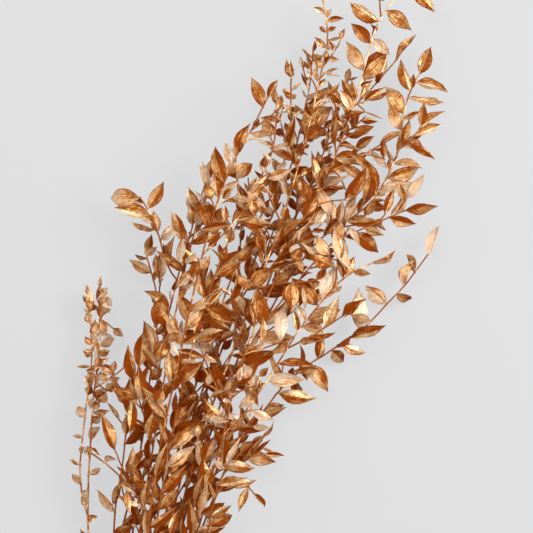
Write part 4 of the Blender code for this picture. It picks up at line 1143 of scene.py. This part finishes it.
def leafPoints(leaf, offset, isLone, rng):
    look = leafLook
    half = halfWidth(leaf, isLone, rng)
    calm = look["frontFold"] if leaf.isFront else 1.0
    up = 1.0 if rng.random() < look["upShare"] else -1.0
    crumple = leaf.crumple if leaf.isFront else max(leaf.crumple, rng.uniform(*look["crumple"]))
    fold = (rng.uniform(*look["fold"]) + crumple * look["foldMore"]) * calm
    cup = rng.uniform(*look["cup"]) * calm
    uneven = rng.gauss(0.0, look["uneven"])
    hook = rng.uniform(*look["hook"]) * leaf.length * (1.0 + crumple)
    sway = rng.gauss(0.0, look["sway"]) * leaf.length
    wave = rng.gauss(0.0, look["wave"]) * leaf.length * (1.0 + look["waveMore"] * crumple)
    ripple = rng.choice((-1.0, 1.0)) * look["ripple"] * leaf.length * crumple
    phases = [rng.uniform(*look["phase"]) for _ in range(2)]
    count = rng.uniform(*look["waves"])
    twist = rng.gauss(0.0, look["twist"]) * (1.0 + crumple) * calm
    stalkEnd, stalkThicker = look["stalk"]
    points = []
    for across, share, level in leafSpots:
        middle, side, facing = leaf.frame(share)
        turn = twist * share
        side, facing = (side * math.cos(turn) + facing * math.sin(turn),
                        facing * math.cos(turn) - side * math.sin(turn))
        outline = outlineAt(share)
        reach = abs(across)
        opening = min(1.0, share / look["foldBy"])
        folded = (fold + cup * reach / 2) * (1.0 + uneven * across) * opening
        outward = half * outline * across * math.cos(folded)
        rise = up * half * outline * reach * math.sin(folded)
        phase = phases[0] if across > 0 else phases[1]
        rise += wave * math.sin(2 * math.pi * count * share + phase) * across ** 2 * outline
        rise += ripple * math.sin(look["ripples"] * share + phases[0]) * outline
        rise -= hook * (max(share - look["hookFrom"], 0.0) / (1.0 - look["hookFrom"])) ** 2
        body = look["thick"] / 2 * (1.0 if share > stalkEnd else stalkThicker)
        points.append(middle + offset + side * (outward + sway * share * share)
                      + facing * (rise + level * body))
    return points


tubeLook = dict(  # lengths are in metres, and palerFrom is in millimetres of the view
    sides=8, step=0.009, apart=0.0008, node=0.0022, swelling=0.22, wander=0.00012,
    rounding=0.012, paintPerMetre=10, tones=(0.0, 0.5), palerStem="stem_12", palerFrom=436,
    palerTone=0.63)


def smoothPath(axis, spots):  # a rounder line through the axis, at given distances
    rounding = tubeLook["rounding"]
    found = []
    for spot in spots:
        window = rounding if rounding < spot < axis.length - rounding else 0.0
        around = [axis.at(spot + window * k / 2)[0] for k in (-2, -1, 0, 1, 2)]
        found.append(sum(around, Vector()) / len(around))
    return found


def ringSpots(axis, feet):  # the distances of a tube's rings, with three at each leaf's foot
    spots = [0.0]
    while spots[-1] < axis.length - tubeLook["step"]:
        spots.append(spots[-1] + tubeLook["step"])
    spots.append(axis.length)
    for foot in feet:
        spots += [foot - tubeLook["node"], foot, foot + tubeLook["node"]]
    spots = sorted(spot for spot in spots if 0.0 <= spot <= axis.length)
    kept = [spots[0]]
    for spot in spots[1:]:
        if spot - kept[-1] > tubeLook["apart"]:
            kept.append(spot)
    kept[-1] = axis.length
    return kept


def stemTube(axis, feet, rng):
    look = tubeLook
    spots = ringSpots(axis, feet)
    line = smoothPath(axis, spots)
    shape = bmesh.new()
    corner = shape.verts.layers.int.new("corner")
    ringOf = shape.verts.layers.int.new("ring")
    sides = look["sides"]
    made = bmesh.ops.create_circle(shape, cap_ends=False, segments=sides, radius=1.0)
    ring = list(made["verts"])
    for index, vert in enumerate(ring):
        vert[corner] = index
    firstEdges = edges = list(shape.edges)
    across = (line[1] - line[0]).normalized().orthogonal().normalized()
    for index, middle in enumerate(line):
        if index:
            grown = bmesh.ops.extrude_edge_only(shape, edges=edges)["geom"]
            ring = [item for item in grown if isinstance(item, bmesh.types.BMVert)]
            edges = [item for item in grown if isinstance(item, bmesh.types.BMEdge)
                     and all(vert in ring for vert in item.verts)]
        forward = (line[min(index + 1, len(line) - 1)] - line[max(index - 1, 0)]).normalized()
        across = (across - forward * across.dot(forward)).normalized()
        upward = forward.cross(across)
        away = min((abs(spots[index] - foot) for foot in feet), default=math.inf)
        swelling = look["swelling"] * max(0.0, 1.0 - away / look["node"])
        radius = axis.radius(spots[index]) * (1.0 + swelling)
        drift = Vector([rng.gauss(0.0, look["wander"]) for _ in range(3)])
        for vert in ring:
            angle = 2 * math.pi * vert[corner] / sides
            outward = across * math.cos(angle) + upward * math.sin(angle)
            vert.co = middle + drift + outward * radius
            vert[ringOf] = index
    for end in (firstEdges, edges):
        bmesh.ops.edgeloop_fill(shape, edges=end)
    bmesh.ops.recalc_face_normals(shape, faces=shape.faces)
    uv = shape.loops.layers.uv.new("paintMap")
    for face in shape.faces:
        face.smooth = len(face.verts) == 4
        wraps = {vert[corner] for vert in face.verts} == {0, sides - 1}
        for loop in face.loops:
            around = loop.vert[corner] + (sides if wraps and loop.vert[corner] == 0 else 0)
            loop[uv].uv = (around / sides, spots[loop.vert[ringOf]] * look["paintPerMetre"])
    mesh = meshFrom(shape, "tube")
    tone = rng.uniform(*look["tones"])
    isPaler = axis is bunch.axes[look["palerStem"]][0]
    palerFrom = inBunch(0.0, look["palerFrom"], 0.0).y if isPaler else math.inf
    tones = [tone if vert.co.y < palerFrom else look["palerTone"] for vert in mesh.vertices]
    for name, values in (("leafTone", tones), ("stemShare", [1.0] * len(tones))):
        mesh.attributes.new(name, "FLOAT", "POINT").data.foreach_set("value", values)
    return mesh


def leafTone(leaf, isLone, rng):  # nought is copper and one is pale gold
    look = paintLook
    if leaf.tone is not None:
        return leaf.tone
    if isLone:
        return rng.uniform(*look["loneTones"])
    # leaves that others cover get darker tones, painted shade, with less of it higher up the bunch
    if bunch.seenShare(leaf) >= look["deepBelow"]:
        return rng.uniform(*look["tones"])
    liftFrom, liftOver, lift = look["lift"]
    along = leaf.foot.y / mm - bunchForm["tieBelow"]
    return rng.uniform(*look["deepTones"]) + lift * ease((along - liftFrom) / liftOver)


def addTo(shape, mesh):
    shape.from_mesh(mesh)
    bpy.data.meshes.remove(mesh)


def intoPlace(shape):  # to where the CAD model has the bunch, on the table and in its box
    for vert in shape.verts:
        vert.co += shift
        vert.co.z = min(max(vert.co.z, 0.0), leafLook["highest"])


def leafyStem(name, paint):
    shape = bmesh.new()
    rng = random.Random(stems[name]["order"] + 5000)
    isLone = name == loneStem
    for axis in bunch.axes[name]:
        feet = [distance for _, owner, distance in bunch.leaves[name] if owner is axis]
        addTo(shape, stemTube(axis, feet + axis.twigFeet, rng))
    for leaf, axis, distance in bunch.leaves[name]:
        at = min(distance, axis.length - leafForm["endSunk"])
        offset = smoothPath(axis, [at])[0] - axis.at(at)[0]
        if leaf.rests:
            offset.zero()
        points = leafPoints(leaf, offset, isLone, rng)
        if leaf.rests:
            for point in points:
                point.z = max(point.z, 0.0)
        mesh = leafMesh.copy()
        mesh.vertices.foreach_set("co", [value for point in points for value in point])
        tones = [leafTone(leaf, isLone, rng)] * len(points)
        mesh.attributes["leafTone"].data.foreach_set("value", tones)
        addTo(shape, mesh)
    intoPlace(shape)
    mesh = meshFrom(shape, name + "_leaves")
    for extra in ("corner", "ring"):
        mesh.attributes.remove(mesh.attributes[extra])
    mesh.materials.append(paint)
    piece = addObject("leafy_" + name, mesh)
    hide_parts(name)
    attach(piece, "root")


# the shader maths

def maths(operation, swapped=False):  # an operator of the class below, which adds a Math node
    def operate(self, other=None):
        first, second = (other, self) if swapped else (self, other)
        values = {0: first} if second is None else {0: first, 1: second}
        return self.sheet.node("ShaderNodeMath", dict(operation=operation), values)
    return operate


class Wire:  # a socket that takes part in Python expressions

    def __init__(self, sheet, socket):
        self.sheet = sheet
        self.socket = socket

    __add__ = maths("ADD")
    __radd__ = maths("ADD", swapped=True)
    __sub__ = maths("SUBTRACT")
    __rsub__ = maths("SUBTRACT", swapped=True)
    __mul__ = maths("MULTIPLY")
    __rmul__ = maths("MULTIPLY", swapped=True)
    __abs__ = maths("ABSOLUTE")
    sine = maths("SINE")

    def clamped(self):
        return self.sheet.node("ShaderNodeClamp", {}, {0: self})


class Sheet:  # one material's node tree

    def __init__(self, name):
        self.material = bpy.data.materials.new(name)
        self.material.use_nodes = True
        self.tree = self.material.node_tree
        self.shader = self.tree.nodes["Principled BSDF"]
        self.principled = Wire(self, self.shader.outputs[0])

    def node(self, kind, settings, values, out=0):
        made = self.tree.nodes.new(kind)
        for key, value in settings.items():
            setattr(made, key, value)
        for key, value in values.items():
            self.feed(made.inputs[key], value)
        return Wire(self, made.outputs[out])

    def feed(self, socket, value):
        if isinstance(value, Wire):
            self.tree.links.new(value.socket, socket)
        else:
            socket.default_value = value

    def set(self, **values):
        for key, value in values.items():
            self.feed(self.shader.inputs[key.replace("_", " ")], value)

    def noise(self, place, scale, detail):
        values = dict(Vector=place, Scale=scale, Detail=detail)
        return self.node("ShaderNodeTexNoise", {}, values)

    def mix(self, share, first, second):  # of two colours
        values = {0: share, 6: first, 7: second}
        return self.node("ShaderNodeMix", dict(data_type="RGBA"), values, out=2)

    def bump(self, height, strength, distance):
        values = dict(Height=height, Strength=strength, Distance=distance)
        return self.node("ShaderNodeBump", {}, values)


paintLook = dict(
    # copper to gold is partly the paint's own tone and partly painted light and shade
    gold=(0.54, 0.252, 0.054, 1.0), copper=(0.197, 0.041, 0.002, 1.0),
    # pale is partly the leaves' pale paint and partly painted highlight, also in the pale streaks
    # along the veins
    bare=(0.10, 0.010, 0.0002, 1.0), pale=(0.98, 0.71, 0.48, 1.0), stem=(0.155, 0.055, 0.012, 1.0),
    flakeDark=(0.97, 0.62, 0.28, 1.0), flakePale=(1.0, 0.86, 0.71, 1.0),
    # glow: painted light, a faint warm emission standing for light bounced between the gold leaves
    # into their shade
    glow=(0.054, 0.0038, 0.0, 1.0), paleShare=0.80, stemCover=0.8, darkPatches=(0.05, 4.0, 0.7),
    metallic=0.25, roughness=0.42, roughVaries=(0.16, 0.12), specular=0.02, coat=0.02,
    coatRoughness=0.22, flakeShare=0.60, paleFlakes=0.12, flakeRoughness=0.33, bump=(1.0, 0.0007),
    clouds=(60.0, 3.0), smears=(260.0, 3.0), grain=(900.0, 2.0),  # scale and detail
    streaks=(1.0, 2.5), streakLength=1.6, streaksDiffer=(60.0, 23.0), veins=18.0, fineVeins=2.6,
    fineStrays=(3.0, 6.0), fineDepth=0.5, veinParts=(2.4, 0.25), palerVeins=(0.8, 0.50),
    # half: painted light and shade, one half of each leaf lighter and the other darker, as if lit
    # from one side
    midrib=24.0, rim=(0.42, 14.0), half=(12.0, 173.0),
    # deepBelow, deepTones and lift: painted shade, darker tones for leaves that others cover, less
    # of it higher up
    tones=(0.08, 0.66), deepBelow=0.6, deepTones=(0.0, 0.28), loneTones=(0.58, 0.86),
    lift=(190, 130, 0.32))  # from and over, in millimetres of the view, and how much

# light is partly the paint's own tone and partly painted light and shade, and its half term is
# painted light and shade on each leaf's two halves; shine brings in the pale paint, which is partly
# painted highlight
paintMixes = dict(  # how much each pattern adds
    light=dict(base=0.70, tone=2.0, clouds=2.4, smears=1.9, litVeins=1.0, half=0.9, rim=-0.8,
               midrib=-0.3, stem=-0.20),
    shine=dict(base=0.0, tone=2.2, clouds=1.8, smears=1.2, veins=1.2, half=0.7, rim=-1.0,
               midrib=-0.5),
    sheen=dict(base=0.55, tone=1.6, clouds=4.2, smears=1.6, veins=1.6, half=1.7, rim=-0.8,
               stem=-0.35),
    height=dict(base=0.0, clouds=3.0, smears=2.2, grain=0.4, veins=1.4, fine=0.4, midrib=1.0))


def paintPatterns(sheet):  # what varies from leaf to leaf and over each of them
    look = paintLook
    uv = sheet.node("ShaderNodeUVMap", dict(uv_map="paintMap"), {})
    across, along = [sheet.node("ShaderNodeSeparateXYZ", {}, {0: uv}, out=out) for out in (0, 1)]
    offMiddle = across - 0.5
    tone = sheet.node("ShaderNodeAttribute", dict(attribute_name="leafTone"), {}, out="Fac")
    stem = sheet.node("ShaderNodeAttribute", dict(attribute_name="stemShare"), {}, out="Fac")
    leaf = 1.0 - stem
    place = sheet.node("ShaderNodeTexCoord", {}, {}, out="Object")
    clouds, smears, grain = [sheet.noise(place, *look[each]) - 0.5
                             for each in ("clouds", "smears", "grain")]
    lengthwise = sheet.node("ShaderNodeCombineXYZ", {}, {
        0: across * look["veins"] + tone * look["streaksDiffer"][0],
        1: along * look["streakLength"], 2: tone * look["streaksDiffer"][1]})
    streaks = sheet.noise(lengthwise, *look["streaks"]) - 0.5
    strays = (clouds + 0.5) * look["fineStrays"][0] + tone * look["fineStrays"][1]
    wavy = (across * (look["veins"] * look["fineVeins"] * math.pi) + strays).sine()
    fine = wavy * look["fineDepth"] * leaf
    veins = streaks * look["veinParts"][0] * leaf + fine * look["veinParts"][1]
    litVeins = veins * (tone * look["palerVeins"][0] + look["palerVeins"][1])
    midrib = (1.0 - abs(offMiddle) * look["midrib"]).clamped() * leaf
    rim = ((abs(offMiddle) - look["rim"][0]) * look["rim"][1]).clamped() * leaf
    # painted light and shade: one half of each leaf lighter and the other darker, its side and
    # strength changing from leaf to leaf, as a fold lit from one side would show
    hand = (offMiddle * look["half"][0] + 0.5).clamped() - 0.5
    half = hand * (tone * look["half"][1]).sine() * leaf
    return dict(tone=tone - 0.5, clouds=clouds, smears=smears, grain=grain, veins=veins, fine=fine,
                litVeins=litVeins, midrib=midrib, rim=rim, half=half, stem=stem)


def copperPaint():
    sheet = Sheet("copperGoldPaint")
    look = paintLook
    parts = paintPatterns(sheet)
    mixed = {}
    for name, shares in paintMixes.items():
        mixed[name] = shares["base"]
        for part, share in shares.items():
            if part != "base":
                mixed[name] = parts[part] * share + mixed[name]
    light, shine, sheen = [mixed[name].clamped() for name in ("light", "shine", "sheen")]
    # darker mottled patches toward a near-black brown, strongest where the paint is already darkest
    darkFrom, darkBy, darkMost = look["darkPatches"]
    dull = 1.0 - light
    darkPatches = ((parts["smears"] - darkFrom) * darkBy * dull).clamped() * darkMost
    # copper to gold by the light mix: partly the paint's own tone, partly painted light and shade
    color = sheet.mix(light, look["copper"], look["gold"])
    # pale paint, partly painted highlight: pale leaves and pale streaks along the veins stand in for
    # where the lamp catches the paint
    color = sheet.mix(shine * look["paleShare"], color, look["pale"])
    color = sheet.mix(darkPatches, color, look["bare"])
    color = sheet.mix(parts["stem"] * (1.0 - shine) * look["stemCover"], color, look["stem"])
    bump = sheet.bump(mixed["height"], *look["bump"])
    grainy, dulled = look["roughVaries"]
    rough = look["roughness"] + parts["grain"] * grainy + dull * dulled
    # the emission is painted light: a faint warm glow that stands for light bounced between the
    # leaves into their shade
    sheet.set(Base_Color=color, Metallic=look["metallic"], Roughness=rough, Normal=bump,
              Specular_IOR_Level=look["specular"], Coat_Weight=look["coat"],
              Coat_Roughness=look["coatRoughness"], Emission_Color=look["glow"],
              Emission_Strength=1.0)
    flake = sheet.mix(shine, look["flakeDark"], look["flakePale"])
    flakes = sheet.node("ShaderNodeBsdfPrincipled", {}, {
        "Base Color": flake, "Metallic": 1.0, "Roughness": look["flakeRoughness"], "Normal": bump})
    share = sheen * (shine * look["paleFlakes"] + look["flakeShare"])
    both = sheet.node("ShaderNodeMixShader", {}, {0: share, 1: sheet.principled, 2: flakes})
    sheet.feed(sheet.tree.nodes["Material Output"].inputs[0], both)
    return sheet.material


paint = copperPaint()
for name in stems:
    leafyStem(name, paint)
print("stage: leafy stems made")


# the tie

twineLook = dict(
    strand=0.00052, apart=0.00040, lay=0.0027, perLay=7, finer=3, knotLifts=0.4, knotSize=0.8,
    knotLoop=(1.05, 0.62, 0.42), knotSteps=24, secondLoop=0.0002,
    light=(0.60, 0.45, 0.27, 1.0), dark=(0.30, 0.20, 0.105, 1.0), roughness=0.9,
    fibres=(1500.0, 3.0), patches=(160.0, 2.0), shares=(1.5, 0.8), bump=(0.7, 0.0003))


def knotLoop(knot, hand):  # one of two loops drawn tight round each other
    steps = twineLook["knotSteps"]
    wide, deep, high = [tieForm["knot"] * twineLook["knotSize"] * each
                        for each in twineLook["knotLoop"]]
    angles = [2 * math.pi * step / steps for step in range(steps + 1)]
    return [knot + Vector((wide * math.cos(angle), deep * math.sin(angle) * hand,
                           high * math.sin(2 * angle) * hand)) for angle in angles]


def twineLines():
    form = tieForm
    middle = bundleHeight()
    inside = (bundleRadius() + bunchForm["pieceGap"]) / math.cos(math.pi / form["steps"])
    ring = inside + form["radius"]
    over = ring + 2 * form["radius"] + bunchForm["pieceGap"]
    half = form["turns"] * form["pitch"] / 2
    knot = Vector((0.0, 0.0, middle + over + twineLook["knotLifts"] * form["radius"]))
    perTurn = form["steps"] * twineLook["finer"]
    steps = form["turns"] * perTurn
    turns = []
    for step in range(steps + 1):
        angle = 2 * math.pi * step / perTurn
        turns.append(Vector((ring * math.sin(angle), -half + 2 * half * step / steps,
                             middle + ring * math.cos(angle))))
    tails = []
    for hand in (1.0, -1.0):
        route = [knot + Vector((x * hand, y, z)) for x, y, z in form["tail"]]
        tails.append(smoothRoute(route, form["tailSegment"] / 2))
    higher = knot + Vector((0.0, 0.0, twineLook["secondLoop"]))
    return [turns] + tails + [knotLoop(knot, 1.0), knotLoop(higher, -1.0)]


def strand(line, phase):  # one of the two strands that turn round each other
    look = twineLook
    reach = [0.0]
    for a, b in zip(line, line[1:]):
        reach.append(reach[-1] + (b - a).length)
    total = reach[-1]
    count = int(total / look["lay"] * look["perLay"])
    points = []
    across = (line[1] - line[0]).orthogonal().normalized()
    index = 0
    for step in range(count + 1):
        at = total * step / count
        while index < len(line) - 2 and reach[index + 1] < at:
            index += 1
        share = (at - reach[index]) / (reach[index + 1] - reach[index])
        middle = line[index].lerp(line[index + 1], share)
        forward = (line[index + 1] - line[index]).normalized()
        across = (across - forward * across.dot(forward)).normalized()
        upward = forward.cross(across)
        angle = 2 * math.pi * at / look["lay"] + phase
        outward = across * math.cos(angle) + upward * math.sin(angle)
        points.append(middle + outward * look["apart"])
    return roundLine("strand", points, [1.0] * len(points), look["strand"], 1)


def twineMaterial():
    look = twineLook
    sheet = Sheet("naturalTwine")
    place = sheet.node("ShaderNodeTexCoord", {}, {}, out="Object")
    fibre = sheet.noise(place, *look["fibres"])
    patch = sheet.noise(place, *look["patches"])
    light = (fibre - 0.5) * look["shares"][0] + (patch - 0.5) * look["shares"][1] + 0.5
    color = sheet.mix(light.clamped(), look["dark"], look["light"])
    bump = sheet.bump(fibre, *look["bump"])
    sheet.set(Base_Color=color, Roughness=look["roughness"], Normal=bump)
    return sheet.material


def twineTie():
    shape = bmesh.new()
    for line in twineLines():
        for phase in (0.0, math.pi):
            addTo(shape, strand(line, phase))
    intoPlace(shape)
    for face in shape.faces:
        face.smooth = True
    mesh = meshFrom(shape, "twine")
    mesh.materials.append(twineMaterial())
    piece = addObject("twine_winding", mesh)
    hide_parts("twine_tie")
    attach(piece, "root")


twineTie()
print("stage: twine tie made")


# table, light and camera

studio = dict(
    table=(0.050, 0.050, 0.0515, 1.0), glow=(0.572, 0.574, 0.581, 1.0), roughness=0.85,
    tableSize=5.0, tableBelow=0.0002, world=(1.0, 0.98, 0.95, 1.0), worldStrength=0.50,
    distance=2.4, framing=0.533, focus=0.06, sensor=36.0,
    lamps=[dict(name="keyLight", place=(1.4, 0.4, 2.1), size=1.6, power=125,
                color=(1.0, 0.985, 0.95)),
           dict(name="topLight", place=(-0.4, 0.7, 2.1), size=1.0, power=32,
                color=(1.0, 0.985, 0.955)),
           dict(name="fillLight", place=(-1.6, 0.0, 1.5), size=1.1, power=14,
                color=(0.98, 0.98, 1.0))])


def tableTop():
    shape = bmesh.new()
    bmesh.ops.create_grid(shape, x_segments=1, y_segments=1, size=studio["tableSize"])
    bmesh.ops.translate(shape, verts=shape.verts, vec=(0.0, 0.0, -studio["tableBelow"]))
    mesh = meshFrom(shape, "table")
    sheet = Sheet("paleTable")
    sheet.set(Base_Color=studio["table"], Roughness=studio["roughness"],
              Emission_Color=studio["glow"], Emission_Strength=1.0)
    mesh.materials.append(sheet.material)
    addObject("table", mesh)


def lamps(target):
    for lamp in studio["lamps"]:
        light = bpy.data.lights.new(lamp["name"], "AREA")
        light.shape = "DISK"
        light.size = lamp["size"]
        light.energy = lamp["power"]
        light.color = lamp["color"]
        holder = addObject(lamp["name"], light)
        holder.location = target + Vector(lamp["place"])
        holder.rotation_euler = (-Vector(lamp["place"])).to_track_quat("-Z", "Y").to_euler()
        holder.visible_camera = False


def camera():
    half = studio["framing"] / 2
    target = Vector((shift.x - bunchForm["tieAcross"] * mm + half,
                     shift.y + bunchForm["tieBelow"] * mm + half, 0.0))
    lens = bpy.data.cameras.new("camera")
    lens.lens = studio["sensor"] * studio["distance"] / studio["framing"]
    holder = addObject("camera", lens)
    holder.location = (target.x, target.y, studio["focus"] + studio["distance"])
    bpy.context.scene.camera = holder
    return target


tableTop()
lamps(camera())
world = bpy.data.worlds.new("studioWorld")
world.use_nodes = True
background = world.node_tree.nodes["Background"]
background.inputs["Color"].default_value = studio["world"]
background.inputs["Strength"].default_value = studio["worldStrength"]
bpy.context.scene.world = world
bpy.context.scene.view_settings.view_transform = "Standard"
print("stage: table, lights and camera set")
